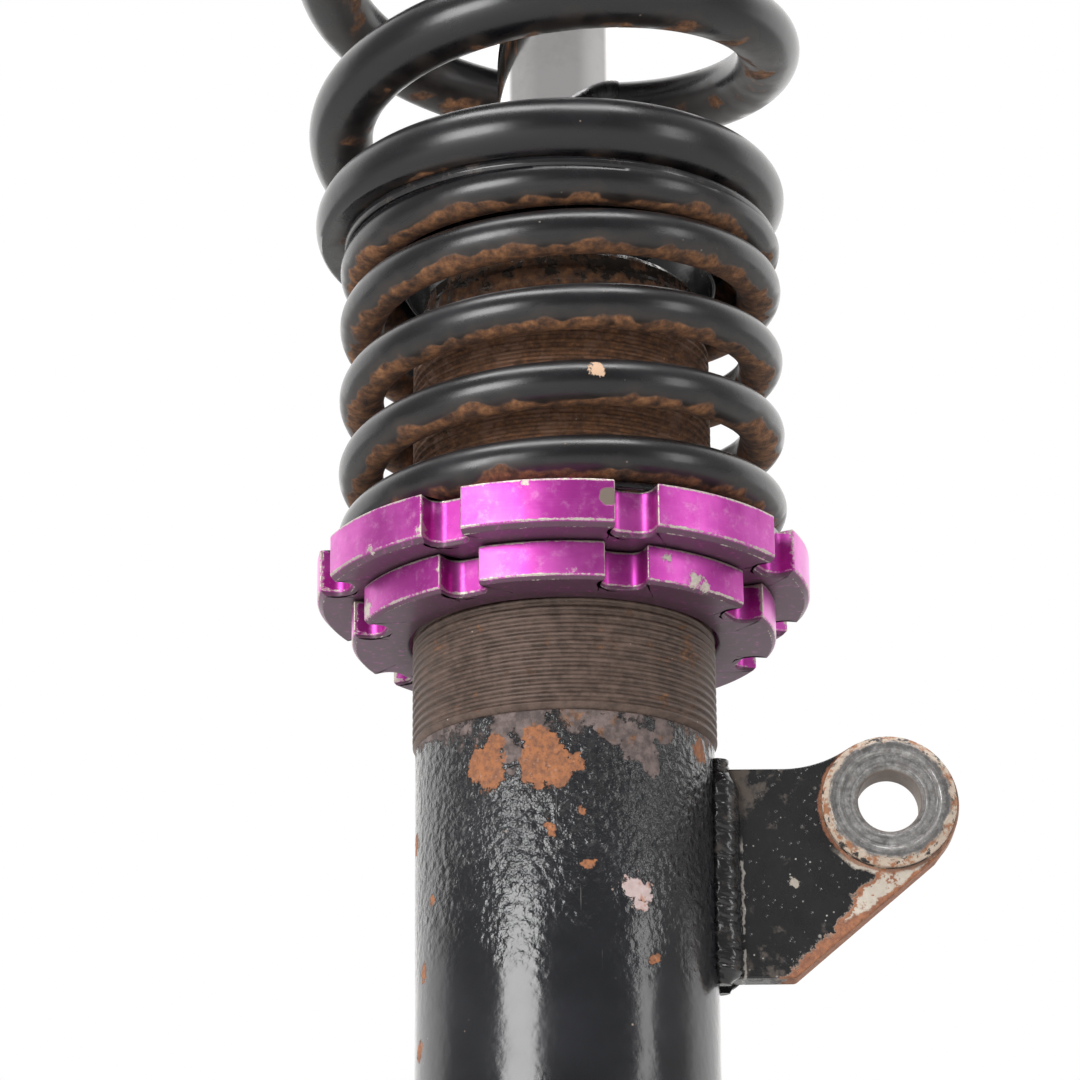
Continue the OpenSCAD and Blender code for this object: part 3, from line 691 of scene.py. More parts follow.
def notched_ring(name, node, chamfer, finish):
    """A ring in the place of a CAD ring, with a chamfer below and every edge broken."""
    bore, radius, z0, z1 = size_of(node)
    plan = notched_plan(radius)
    steps = np.linalg.norm(plan - np.roll(plan, 1, 0), axis=1)
    share = np.cumsum(steps) / steps.sum()
    lead = math.atan2(plan[0, 1], plan[0, 0]) - share[0] * TURN
    reach = np.hypot(plan[:, 0], plan[:, 1])
    corner = (reach < radius - 0.005) & (reach > radius - 0.5)

    def plan_loop(height, cap, inset):
        flat = drawn_in(plan, inset)
        flat *= np.minimum(1, cap / np.hypot(flat[:, 0], flat[:, 1]))[:, None]
        return np.column_stack([flat, np.full(len(flat), height)])

    rings, worn = [], []
    floor_r = radius - NOTCH_DEPTH - 1.2
    for height, r in ((z0, floor_r), (z0, bore + 1.0), (z0 + 1.0, bore), (z1 - 0.6, bore),
                      (z1, bore + 0.6), (z1, floor_r)):
        rings.append(loop_at(r, lead + share * TURN, height))
        worn.append(np.zeros(len(plan)))
    quarter = [math.radians(a) for a in (90, 67, 45, 22, 0)]
    for a in quarter:
        drop = RING_BREAK * 1.6 * (1 - math.sin(a))
        rings.append(plan_loop(z1 - drop, radius, RING_BREAK * 1.6 * (1 - math.cos(a))))
        worn.append(np.ones(len(plan)))
    for height in (z1 - 0.9, (z0 + z1) / 2, z0 + chamfer + 0.7):
        rings.append(plan_loop(height, radius, 0))
        worn.append(np.zeros(len(plan)) + corner)
    for rise, cap, wear in ((chamfer + 0.12, radius - 0.01, 0.9), (chamfer, radius - 0.05, 1.0),
                            (chamfer - 0.14, radius - 0.18, 0.9),
                            (chamfer - 0.42, radius - 0.44, 0.15),
                            (RING_BREAK, radius - chamfer + RING_BREAK, 0.15),
                            (0.10, radius - chamfer + 0.12, 0.6), (0.03, radius - chamfer, 0.8),
                            (0, radius - chamfer - 0.10, 0.7)):
        inset = RING_BREAK * (1 - math.sqrt(max(0, 1 - (1 - min(1, rise / RING_BREAK)) ** 2)))
        rings.append(plan_loop(z0 + rise, cap, inset))
        worn.append(np.full(len(plan), wear))
    rings.append(plan_loop(z0, radius - chamfer - 0.6, RING_BREAK + 0.5))
    worn.append(np.zeros(len(plan)))
    return skin(name, rings, finish, sharp=60, marks={"edge": worn})


# %% Anodised finish
def purple_anodised(name, node, chamfer, dents, hits):
    """Purple anodised aluminium, rubbed silver at its edges, with a pale painted sheen in patches, and dust
    and painted shade underneath that grow darker towards the bore.
    """
    bore, radius, z0 = size_of(node)[:3]
    f = Finish(name)
    r = f.radius()
    turned_place = f.join(r, f.z, 0.0)
    lines = f.noise(0.16, 2.0, 0.6, turned_place)
    smear = f.noise(8.0, 4.0, 0.6)
    body = f.blend((0.420, 0.035, 0.310), (0.560, 0.085, 0.430), f.ease(smear, 0.35, 0.7))
    # Pale pink patches: worn spots in the oxide, together with a painted sheen that brightens the wall where
    # the metal reflects little.
    scuff_and_sheen = f.ease(f.noise(2.2, 6.0, 0.75), 0.50, 0.78)
    body = f.blend(body, (0.640, 0.330, 0.540), scuff_and_sheen * 0.5 + f.ease(lines, 0.5, 0.9) * 0.10)
    edge = f.attribute("edge")
    rub = edge + (f.noise(0.7, 5.0, 0.75) - 0.5) * 1.5 + (f.noise(7.0, 2.0) - 0.5) * 0.9
    bare = f.ease(rub, 0.80, 1.00)
    nicks = f.ease(f.noise(1.5, 5.0, 0.75) + edge * 0.09, 0.70, 0.74)
    knocks = f.ease(f.spots(hits) + (f.noise(1.2, 5.0, 0.75) - 0.5) * 6, 0.0, 0.5)
    bare = bare.at_least(nicks * 0.9).at_least(f.specks(0.4, 4.2, 0.20) * 0.7).at_least(knocks)
    silver = f.blend((0.34, 0.29, 0.24), (0.62, 0.58, 0.52), f.noise(0.5, 2.0))
    # Underneath, below the chamfer, the colour is painted dark: some dust, and painted shade that falls under
    # the ring and between the rings.
    under = f.ease(f.z, z0 + chamfer * 0.95, z0 + chamfer * 0.60)
    inner = f.ease(r, radius - 5.0, bore + 0.5)
    # The dark film under the ring is painted shade with dust in it. Towards the bore it is painted darker
    # still, as shade in the gap against the thread.
    grime = f.ease(f.noise(3.0, 5.0, 0.65), 0.30, 0.66)
    film = f.blend((0.072, 0.028, 0.054), (0.052, 0.032, 0.036), grime)
    film = f.blend(film, (0.034, 0.023, 0.020), inner * 0.85)
    # The mask of that painted shade and dust under the ring, broken up by noise.
    dust_and_shade = under * f.ease(f.noise(1.3, 4.0, 0.6), 0.12, 0.45)
    colour = f.blend(f.blend(body, film, dust_and_shade * 0.94), silver, bare)
    spot = f.ease(f.spots(dents) + (f.noise(1.0, 3.0) - 0.5) * 0.6, 0.0, 0.25)
    colour = f.blend(colour, (0.150, 0.118, 0.095), spot)
    rough = f.level(f.level(0.36, 0.46, smear), 0.62, dust_and_shade.at_least(scuff_and_sheen * 0.4))
    rough = f.level(rough, 0.50, bare.at_least(spot))
    metal = f.level(1.0, 0.25, dust_and_shade.at_least(spot))
    relief = lines * 0.002 + f.noise(0.35, 2.0) * 0.004 - bare * 0.03 - spot * 0.05
    return f.done(colour, rough, metal, relief, 0.35, 0.30)


# %% Both rings
def spring_ring(name, node, body, chamfer, dents, hits):
    finish = purple_anodised(name + "_purple", node, chamfer, dents, hits)
    settle(notched_ring(name, node, chamfer, finish), body, "purple_anodised", node)


def on_rim(node, marks):
    """Spots on a ring's wall from their (bearing, height above its lower face, reach)."""
    radius, z0 = size_of(node)[1:3]
    return [((radius * math.cos(math.radians(a)), radius * math.sin(math.radians(a)), z0 + h), reach)
            for a, h, reach in marks]


ADJUSTER_DENTS = [(-79.8, 5.1, 1.7)]
ADJUSTER_HITS = [(-122.5, 2.4, 1.6), (-121, 4.8, 1.2), (-164, 2.2, 1.5), (-28, 5.6, 1.0),
                 (-139, 1.6, 0.9), (-98, 7.6, 0.7), (60, 3.0, 1.6)]
LOCK_DENTS = [(-24, 0.0, 0.1)]
LOCK_HITS = [(-123, 4.6, 1.2), (-53, 2.0, 1.5), (-50, 1.0, 1.2), (-155, 2.2, 1.7), (-62, 4.8, 0.7),
             (-88, 1.1, 0.7), (100, 3.0, 1.4)]
spring_ring("adjuster_ring", "adjuster_collar", "adjuster", 1.05,
            on_rim("adjuster_collar", ADJUSTER_DENTS), on_rim("adjuster_collar", ADJUSTER_HITS))
spring_ring("locking_ring", "lock_ring", "lock", 0.75,
            on_rim("lock_ring", LOCK_DENTS), on_rim("lock_ring", LOCK_HITS))

# %% [markdown]
# ## The threaded tube
# The rings run on a fine thread, 52 mm across with a pitch of 1.5 mm. A thread is a groove whose
# phase is the height less the turn, so a tree can cut it into any turned piece: it moves the
# points of the outer wall inwards, and fades out at both ends as a tool does. The depth at each
# point is stored, because the grooves are painted dark with dirt and painted shade, and the crests are rubbed
# brown.

# %% Thread tree
def thread_tree():
    bench, given = shape_tree("thread", ["Radius", "Pitch", "Depth", "Bottom", "Top", "Run out"])
    place = bench.add("GeometryNodeInputPosition")
    x, y, z = bench.split(place)
    radial = x.maths("SQRT", x * x + y * y)
    turn = y.maths("ARCTAN2", y, x) / TURN
    phase = turn.maths("FRACT", z / given["Pitch"] - turn)
    from_root = abs(phase - 0.5) * 2
    groove = 1 - bench.ease(from_root, 0.18, 0.78)
    fade = bench.ease(z, given["Bottom"], given["Bottom"] + given["Run out"])
    fade = fade * bench.ease(z, given["Top"], given["Top"] - given["Run out"])
    wall = bench.ease(radial, given["Radius"] - 0.4 * MM, given["Radius"] - 0.1 * MM)
    cut = groove * fade * wall
    slim = 1 - cut * given["Depth"] / radial
    target = bench.join(x * slim, y * slim, z)
    cutting = bench.add("GeometryNodeSetPosition", {"Geometry": given["Geometry"], "Position": target})
    cutting = keep(bench, cutting, "groove", cut)
    return end_tree(bench, cutting, given["Finish"])


THREAD = thread_tree()


def wall_points(r, z0, z1, pitch, samples=9):
    """Corners up a plain wall, close enough together for a thread to be cut into it."""
    return [(r, z, 0) for z in np.linspace(z0, z1, round((z1 - z0) / pitch * samples))]


# %% Thread finish
def thread_steel():
    f = Finish("thread_steel")
    groove = f.attribute("groove")
    stains = f.noise(11.0, 4.0, 0.6)
    grain = f.noise(2.2, 5.0, 0.7)
    inside = f.ease(f.z, 258.0, 268.0)
    crest = f.blend((0.062, 0.040, 0.031), (0.150, 0.102, 0.082), f.ease(grain, 0.30, 0.75))
    crest = f.blend(crest, (0.300, 0.150, 0.085), inside * 0.6)
    orange = f.ease(f.noise(4.5, 5.0, 0.7) + inside * 0.20 + (stains - 0.5) * 0.4, 0.60, 0.70)
    crest = f.blend(crest, rust_colour(f, 1.3), orange * 0.85)
    # The grooves are painted near black: dirt in them, and painted shade in the recess.
    colour = f.blend(crest, (0.009, 0.005, 0.004), f.ease(groove, 0.05, 0.42))
    glint = f.specks(0.4, 2.2, 0.20) * (1 - groove)
    colour = f.blend(colour, (0.45, 0.38, 0.33), glint * 0.8)
    rough = f.level(0.46, 0.80, f.ease(grain + orange * 0.4, 0.3, 0.8))
    metal = (1 - orange) * (1 - groove) * 0.35
    relief = f.noise(0.8, 4.0, 0.7) * 0.05 + f.noise(0.25, 2.0) * 0.02
    return f.done(colour, rough, metal, relief)


# %% Threaded tube
THREAD_PITCH = 1.5
THREAD_DEPTH = 0.55
RELIEF = 0.9
gland_in, gland_out, gland_z0, gland_z1 = size_of("gland_nut")
neck_r = gland_out - 0.3
thread_z1 = neck_top - 3
tube_outline = [(thread_bore, thread_z0, 0.3), (thread_r - RELIEF, thread_z0, 0.2)]
tube_outline += wall_points(thread_r, thread_z0 + RELIEF, thread_z1 - RELIEF, THREAD_PITCH)
tube_outline += [(neck_r, thread_z1, 0.3), (neck_r, neck_top, 0.3), (thread_bore, neck_top, 0.3)]
threaded = lathe("threaded_sleeve", tube_outline, thread_steel(), sides=176, sharp=70)
grow(threaded, THREAD, 70, Radius=thread_r * MM, Pitch=THREAD_PITCH * MM, Depth=THREAD_DEPTH * MM,
     Bottom=(thread_z0 + 0.4) * MM, Top=(thread_z1 - 0.4) * MM, **{"Run out": THREAD_PITCH * MM})
settle(threaded, "strut", "thread_steel", "threaded_tube")

# %% [markdown]
# ## The strut tube
# Below the thread the tube is painted gloss black. The paint has the bubbled skin of a thick coat
# near the top, where it ends against the thread in a ragged line of primer. Rust has lifted it in
# two patches there, and a stone has chipped it lower down. Each mark is a round spot in space,
# and noise pulls its outline ragged.

# %% Tube finish
tube_bore, tube_r, tube_z0, tube_z1 = size_of("strut_tube")


def on_tube(bearing, height):
    """A point on the tube's skin, from its bearing in degrees round from +X and its height."""
    turn = math.radians(bearing)
    return (tube_r * math.cos(turn), tube_r * math.sin(turn), height)


RUST_MARKS = [(-121.5, 217, 3.3), (-119, 214.4, 2.5), (-118, 219, 2.4), (-99, 219.4, 3.2), (-101, 215, 3.2),
              (-94, 215.4, 3.5), (-88, 215.4, 1.9), (-158, 185, 1.5), (-163, 172, 1.8), (-81, 199, 0.9),
              (-96, 205, 0.8), (-84, 208, 0.7), (-57, 184, 0.8), (-150, 196, 0.7), (-170, 208, 1.8),
              (-28, 222, 2.4), (60, 214, 4.0), (78, 209, 3.2), (140, 150, 2.4), (165, 188, 2.0),
              (20, 120, 2.0), (-20, 150, 1.4), (110, 100, 3.2), (-110, 104, 2.0), (-60, 128, 1.2)]
BARE_MARKS = [(-110.5, 218.6, 2.4), (-109, 215, 1.4), (-103, 223, 3.4), (-114, 223, 2.6), (-62, 220, 3.6),
              (-56, 217, 2.2), (-72, 222, 3.0), (-50, 223, 2.6)]
CHIP_MARKS = [(-64.5, 195.6, 2.2), (-61, 194.6, 2.1), (-61, 192.6, 1.5), (40, 190, 2.2), (130, 205, 2.4)]


def tube_paint():
    f = Finish("tube_paint")
    near_top = f.ease(f.z, 150.0, 224.0)
    ragged = (f.noise(2.4, 6.0, 0.72) - 0.5) * 6.5
    rust = f.ease(f.spots([(on_tube(a, z), s) for a, z, s in RUST_MARKS]) + ragged, 0.0, 0.2)
    chips = f.ease(f.spots([(on_tube(a, z), s) for a, z, s in CHIP_MARKS]) + ragged, 0.0, 0.2)
    lifted = f.ease(f.spots([(on_tube(a, z), s) for a, z, s in BARE_MARKS]) + ragged, 0.0, 0.3)
    lip = f.ease(f.z + (f.noise(5.5, 6.0, 0.75) - 0.5) * 24, 222.4, 224.2).at_least(lifted)
    film = f.ease(f.noise(22.0, 4.0, 0.55), 0.35, 0.75)
    black = f.blend((0.005, 0.0055, 0.007), (0.013, 0.0135, 0.017), film)
    dust = f.ease(f.noise(1.2, 5.0, 0.7) * 0.7 + near_top * 0.28, 0.52, 0.80)
    black = f.blend(black, (0.060, 0.057, 0.056), dust * 0.35)
    flecks = f.specks(0.5, 3.4, 0.30).at_least(f.specks(0.8, 6.5, 0.22))
    black = f.blend(black, (0.30, 0.22, 0.18), flecks * 0.8)
    hair = f.noise(0.9, 3.0, 0.6, f.join(f.x, f.y, f.z * 0.05))
    scratched = f.ease(hair, 0.705, 0.735) * f.ease(f.noise(14.0, 2.0), 0.48, 0.58)
    black = f.blend(black, (0.15, 0.145, 0.14), scratched * 0.6)
    primer = f.blend((0.060, 0.044, 0.040), (0.170, 0.128, 0.120), f.ease(f.noise(2.4, 5.0, 0.7), 0.35, 0.7))
    primer = f.blend(primer, rust_colour(f, 1.0), f.ease(f.noise(3.0, 4.0), 0.56, 0.66) * 0.8)
    bright = f.blend((0.310, 0.115, 0.042), (0.170, 0.070, 0.036), f.ease(f.noise(1.4, 5.0, 0.7), 0.35, 0.65))
    bright = f.blend(bright, (0.36, 0.21, 0.15), f.ease(f.noise(0.9, 4.0, 0.7), 0.58, 0.72) * 0.7)
    bright = f.blend(bright, (0.110, 0.045, 0.026), f.ease(f.noise(0.7, 5.0, 0.75), 0.54, 0.64) * 0.7)
    bare = f.blend((0.34, 0.25, 0.24), (0.52, 0.42, 0.41), f.noise(1.0, 3.0))
    bare = f.blend(bare, (0.36, 0.16, 0.10), f.ease(f.noise(2.2, 5.0, 0.7), 0.50, 0.60) * 0.8)
    colour = f.blend(f.blend(f.blend(black, primer, lip), bare, chips), bright, rust)
    gone = rust.at_least(chips).at_least(lip)
    gloss = f.level(0.11, 0.25, f.noise(5.0, 4.0) * 0.8 + film * 0.4)
    rough = f.level(gloss.at_least(flecks * 0.6), 0.78, gone)
    rough_skin = f.ease(f.z + (f.noise(9.0, 3.0) - 0.5) * 30, 178.0, 208.0)
    blister = f.ease(f.cells(1.7), 0.60, 0.05) * rough_skin
    peel = f.noise(4.2, 2.0) * 0.07 + f.noise(1.5, 3.0, 0.6) * (0.035 + rough_skin * 0.45)
    relief = (peel + blister * 0.16) * (1 - gone) + gone * (f.noise(0.8, 4.0, 0.7) * 0.12 - 0.20)
    return f.done(colour, rough, 0.0, relief, 0.0)


# %% Strut tube
SPIGOT_R = 25.0
SPIGOT_TOP = 95
tube = lathe("painted_tube", [(tube_bore, tube_z0, 0.4), (SPIGOT_R, tube_z0, 0.25),
                              (SPIGOT_R, SPIGOT_TOP, 0.3), (tube_r, SPIGOT_TOP + 1, 0.4),
                              (tube_r, tube_z1, 0.35), (tube_bore, tube_z1, 0.2)],
             tube_paint(), sides=224)
settle(tube, "strut", "tube_paint", "strut_tube")

# %% [markdown]
# ## The gland nut, the wiper and the rod
# The damper is closed by a round gland nut with four pin holes for its key, and a rubber wiper
# keeps dirt off the chromed rod. The nut and the rod's key hole are turned first and then cut with
# a Boolean, as the real ones are drilled and broached.

# %% Cutting tools
def bore_out(piece, cutters):
    """The piece with the cutters taken out of it."""
    for cutter in cutters:
        cut = piece.modifiers.new("cut", "BOOLEAN")
        cut.operation = "DIFFERENCE"
        cut.solver = "EXACT"
        cut.object = cutter
    bake(piece)
    for cutter in cutters:
        bpy.data.objects.remove(cutter)
    tidy(piece.data)
    piece.modifiers.new("even shading", "WEIGHTED_NORMAL").keep_sharp = True
    return bake(piece)


def drill(x, y, r, z0, z1, sides=32):
    """A cutter for a round hole, or for a key hole with few sides."""
    return lathe("drill", [(0, z0, 0), (r, z0, 0), (r, z1, 0), (0, z1, 0)], BARE, sides, 20, (x, y, 0))


BARE = Finish("bare").done((0.5, 0.5, 0.5), 0.4)

# %% Gland nut and wiper
def gland_black():
    f = Finish("gland_black")
    grime = f.ease(f.noise(3.2, 5.0, 0.65) + f.ease(f.z, 306.0, 301.0) * 0.12, 0.46, 0.60)
    black = f.blend((0.016, 0.015, 0.015), (0.055, 0.044, 0.036), f.noise(2.0, 4.0))
    colour = f.blend(black, rust_colour(f, 1.5), grime * 0.9)
    colour = f.blend(colour, (0.40, 0.32, 0.27), f.specks(0.5, 2.8, 0.22) * 0.7)
    rough = f.level(0.16, 0.75, grime)
    return f.done(colour, rough, 0.0, f.noise(0.9, 4.0, 0.7) * (0.02 + grime * 0.10))


def rubber(name, size=0.5, tone=0.018):
    """Matt black rubber with a fine skin and a little dust in it."""
    f = Finish(name)
    dust = f.ease(f.noise(5.0, 5.0, 0.65), 0.45, 0.75)
    colour = f.blend((tone, tone, tone), (tone * 3.2, tone * 3.0, tone * 2.8), dust * 0.7)
    colour = f.blend(colour, (0.20, 0.18, 0.16), f.specks(0.45, 2.6, 0.16) * 0.6)
    rough = f.level(0.55, 0.82, dust)
    return f.done(colour, rough, 0.0, f.noise(size, 3.0) * 0.03 + f.noise(4.0) * 0.05)


rod_r = size_of("piston_rod")[1]
wiper_in, wiper_r, wiper_z0, wiper_z1 = size_of("rod_wiper")
gland = lathe("gland_cap", [(gland_in, gland_z0, 0.2), (thread_bore - 0.05, gland_z0, 0.3),
                            (thread_bore - 0.05, neck_top, 0.1), (neck_r - 0.6, neck_top, 0.2),
                            (neck_r + 0.3, neck_top + 1, 0.6), (neck_r + 0.3, neck_top + 3, 0.6),
                            (neck_r - 0.3, neck_top + 4, 0.5), (neck_r - 0.3, gland_z1 - 1.5, 0.6),
                            (neck_r - 1.8, gland_z1, 0.6), (wiper_r, gland_z1, 0.3),
                            (wiper_r, wiper_z0, 0.2), (gland_in, wiper_z0, 0.2)], gland_black())
pin_circle = (wiper_r + neck_r) / 2
holes = [drill(pin_circle * math.cos(a), pin_circle * math.sin(a), 2, gland_z1 - 4, gland_z1 + 1)
         for a in np.radians([20, 110, 200, 290])]
settle(bore_out(gland, holes), "strut", "gland_black", "gland_nut")
lip = wiper_in
wiper = lathe("wiper_lip", [(rod_r + 0.8, wiper_z0, 0.2), (wiper_r, wiper_z0, 0.2),
                            (wiper_r, gland_z1, 0.3), (wiper_r - 1, gland_z1 + 0.8, 0.4),
                            (rod_r + 2, gland_z1 + 1, 0.5), (lip + 1, wiper_z1, 0.3),
                            (lip, wiper_z1, 0.1), (lip, gland_z1 + 1.5, 0.2),
                            (rod_r + 0.8, gland_z1 - 1, 0.3)], rubber("wiper_rubber"))
settle(wiper, "strut", "seal_rubber", "rod_wiper")

# %% Piston rod
def rod_chrome():
    f = Finish("rod_chrome")
    haze = f.ease(f.noise(9.0, 4.0, 0.6), 0.40, 0.80)
    lines = f.noise(0.35, 2.0, 0.6, f.join(f.radius(), f.z, 0.0))
    colour = f.blend((0.86, 0.85, 0.85), (0.60, 0.58, 0.56), haze * 0.5)
    colour = f.blend(colour, (0.20, 0.12, 0.08), f.specks(0.35, 5.0, 0.14) * 0.7)
    # The stud's thread grooves are painted dark: painted shade in the recess.
    cut = f.attribute("groove")
    colour = f.blend(colour, (0.10, 0.09, 0.08), cut * 0.8)
    return f.done(colour, f.level(0.04, 0.14, haze), 1.0, lines * 0.001)


rod_z0, rod_z1 = size_of("piston_rod")[2:]
SPINDLE_R = 6
SPINDLE_TOP = 222
seat_z0 = size_of("seat_insulator")[3]
stud_r = size_of("rod_nut")[0]
rod_outline = [(0, rod_z0, 0), (SPINDLE_R, rod_z0, 1.0), (SPINDLE_R, SPINDLE_TOP, 0.2),
               (rod_r, SPINDLE_TOP, 0.5), (rod_r, seat_z0, 0.3), (stud_r, seat_z0, 0.4)]
rod_outline += wall_points(stud_r, seat_z0 + 20, rod_z1 - 1.2, 1.5, 8)
rod_outline += [(stud_r - 1.2, rod_z1, 0.3), (0, rod_z1, 0)]
rod = lathe("damper_rod", rod_outline, rod_chrome(), sides=96, sharp=50)
grow(rod, THREAD, 50, Radius=stud_r * MM, Pitch=1.5 * MM, Depth=0.6 * MM, Top=rod_z1 * MM,
     Bottom=(rod_z1 - 26) * MM, **{"Run out": 1.5 * MM})
KEY_R = 3 / math.cos(math.radians(30))
settle(bore_out(rod, [drill(0, 0, KEY_R, rod_z1 - 7, rod_z1 + 1, 6)]), "rod", "rod_chrome", "piston_rod")

# %% [markdown]
# ## The link bracket
# The anti-roll bar link hangs on a laser-cut plate welded to the tube. Its outline is a few
# straight lines, an arc round the eye and a hollow arc of 20 mm that leads into it. The faces are
# painted black, pitted and dirty near the weld, and the long lower edge has lost its paint: bare
# steel with a border of rust.

# %% Bracket finish
weld_z0, weld_z1 = size_of("bracket_welds")[2:]
boss_low, boss_high = (np.array(corner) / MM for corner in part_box("link_boss"))
plate_low, plate_high = (np.array(corner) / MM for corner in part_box("link_bracket"))
EYE_X, EYE_Z = (boss_low + boss_high)[[0, 2]] / 2
PLATE_HALF = plate_high[1]
BOSS_R = (boss_high - boss_low)[0] / 2
bead_x = math.sqrt(tube_r ** 2 - PLATE_HALF ** 2) + 0.5
bead_toe = bead_x + 3.7
PLATE_TOP, PLATE_FOOT = EYE_Z + 6.4, plate_low[2]
HEEL = (EYE_X - 16.4, PLATE_FOOT)
TOE = (EYE_X + 7.7, EYE_Z - 9.5)


def bracket_paint():
    f = Finish("bracket_paint")
    long_x, long_z = TOE[0] - HEEL[0], TOE[1] - HEEL[1]
    length = math.hypot(long_x, long_z)
    from_edge = (f.x - HEEL[0]) * (-long_z / length) + (f.z - HEEL[1]) * (long_x / length)
    along = (f.x - HEEL[0]) * (long_x / length) + (f.z - HEEL[1]) * (long_z / length)
    from_foot = (f.z - HEEL[1]).at_least(0.0)
    across, rise = f.x - EYE_X, f.z - EYE_Z
    from_eye = across.maths("SQRT", across * across + rise * rise) - BOSS_R
    ragged = (f.noise(3.4, 6.0, 0.72) - 0.5) * 7.0
    wide = 1.3 + f.ease(along, 6.0, 22.0) * 3.4
    border = f.ease(from_edge + ragged, wide + 0.5, wide - 0.2)
    near_heel = f.ease(along, 19.0, 8.0)
    rust_line = f.ease(from_edge + ragged * 0.45, 0.9 + near_heel * 2.2, 0.5 + near_heel * 1.6)
    paint_line = f.ease(abs(from_edge + ragged - wide + 0.25), 0.75, 0.35)
    round_eye = f.ease(from_eye + ragged * 0.25, 0.75, 0.45)
    steel = f.blend((0.33, 0.28, 0.23), (0.56, 0.51, 0.44), f.noise(1.3, 5.0, 0.7))
    rust = f.blend((0.300, 0.120, 0.055), (0.170, 0.066, 0.036), f.ease(f.noise(1.1, 5.0, 0.7), 0.35, 0.65))
    weld_dirt = f.ease(f.x, 36.0, 28.0)
    high_dirt = f.ease(f.z, 206.0, 220.0)
    low_dirt = f.ease(from_foot, 9.0, 0.0) * f.ease(f.x, 42.0, 33.0)
    dirt = f.noise(3.0, 6.0, 0.72) + weld_dirt * high_dirt * 0.22 + high_dirt * 0.06 + low_dirt * 0.16
    dirty = f.ease(dirt, 0.60, 0.78)
    black = f.blend((0.0045, 0.0045, 0.005), (0.013, 0.013, 0.014), f.noise(7.0, 4.0))
    black = f.blend(black, (0.085, 0.064, 0.050), dirty * 0.75)
    flecks = f.specks(0.42, 1.2, 0.34).at_least(f.specks(0.8, 3.8, 0.26))
    flecks = flecks * f.ease(f.noise(6.0, 3.0) + low_dirt * 0.2 + high_dirt * 0.05, 0.40, 0.56)
    black = f.blend(black, (0.30, 0.28, 0.26), flecks * 0.9)
    toe_x = f.x - bead_toe - (f.noise(2.0, 4.0, 0.7) - 0.5) * 1.6
    crack = f.ease(abs(toe_x), 0.30, 0.12) * f.ease(f.z, 210.0, 207.0) * f.ease(f.noise(1.5, 3.0), 0.36, 0.46)
    black = f.blend(black, (0.42, 0.39, 0.36), crack * 0.8)
    streak = f.spots([((38.3, -PLATE_HALF, 201.1), 1.0), ((36.4, -PLATE_HALF, 200.4), 0.5)])
    scratch = f.ease(streak + ragged * 0.8, 0.0, 0.3)
    bared = border.at_least(f.ease(from_eye + ragged * 0.5, 1.6, 1.0) * f.ease(f.z, 208.0, 204.0))
    colour = f.blend(black, steel, bared.at_least(scratch * 0.7))
    eaten = bared * f.ease(f.noise(1.9, 6.0, 0.72), 0.55, 0.63)
    rusty = (rust_line * border).at_least(round_eye * 0.8).at_least(eaten).at_least(paint_line * border)
    colour = f.blend(colour, rust, rusty)
    gone = bared.at_least(round_eye)
    pits = f.ease(f.cells(1.1), 0.30, 0.05) * f.ease(f.noise(3.5, 3.0), 0.42, 0.58)
    rough = f.level(f.level(0.20, 0.36, f.noise(4.0, 3.0)), 0.72, gone.at_least(dirty).at_least(flecks))
    relief = f.noise(1.5, 3.0) * 0.06 - pits * 0.12 - gone * 0.12 + gone * f.noise(0.6, 4.0, 0.7) * 0.10
    return f.done(colour, rough, 0.0, relief)


# %% Bracket plate
def arc_points(x, z, r, start, end, count):
    return [(x + r * math.cos(a), z + r * math.sin(a), 0)
            for a in np.radians(np.linspace(start, end, count))]


def bracket_outline():
    """The plate's outline in the X-Z plane as [x, z, fillet]."""
    eye_r = BOSS_R + 0.5
    hollow = 20
    hollow_z = PLATE_TOP + hollow
    hollow_x = EYE_X - math.sqrt((eye_r + hollow) ** 2 - (hollow_z - EYE_Z) ** 2)
    meet = math.degrees(math.atan2(hollow_z - EYE_Z, hollow_x - EYE_X))
    leave = math.degrees(math.atan2(TOE[1] - EYE_Z, TOE[0] - EYE_X)) + 9
    outline = [(tube_r - 2, PLATE_TOP, 0), (tube_r - 2, PLATE_FOOT, 0), (*HEEL, 1.2), (*TOE, 1.0)]
    outline += arc_points(EYE_X, EYE_Z, eye_r, leave, meet, 36)
    outline += arc_points(hollow_x, hollow_z, hollow, meet - 180, -90, 18)[1:]
    return np.array(soften(outline, 9))


def plate_rings(outline, half, edge_r):
    """The outline at several depths, drawn in at both faces for a rounded edge."""
    rings = []
    for a in np.radians([90, 60, 30, 0, 0, -30, -60, -90]):
        depth = (half - edge_r) * (1 if len(rings) < 4 else -1) + edge_r * math.sin(a)
        flat = drawn_in(outline, edge_r * (1 - math.cos(a)))
        flat[:, 0] = np.maximum(flat[:, 0], math.sqrt(tube_r ** 2 - depth ** 2))
        rings.append(np.column_stack([flat[:, 0], np.full(len(flat), depth), flat[:, 1]]))
    return rings


SLEEVE_R = 8
plate = skin("bracket_plate", plate_rings(bracket_outline(), PLATE_HALF, 0.35), bracket_paint(), closed=False)
eye_drill = lathe("eye_drill", [(0, -9, 0), (SLEEVE_R, -9, 0), (SLEEVE_R, 9, 0), (0, 9, 0)], BARE, 64, 20,
                  (EYE_X, 0, EYE_Z), along="Y")
settle(bore_out(plate, [eye_drill]), "strut", "bracket_paint", "link_bracket")

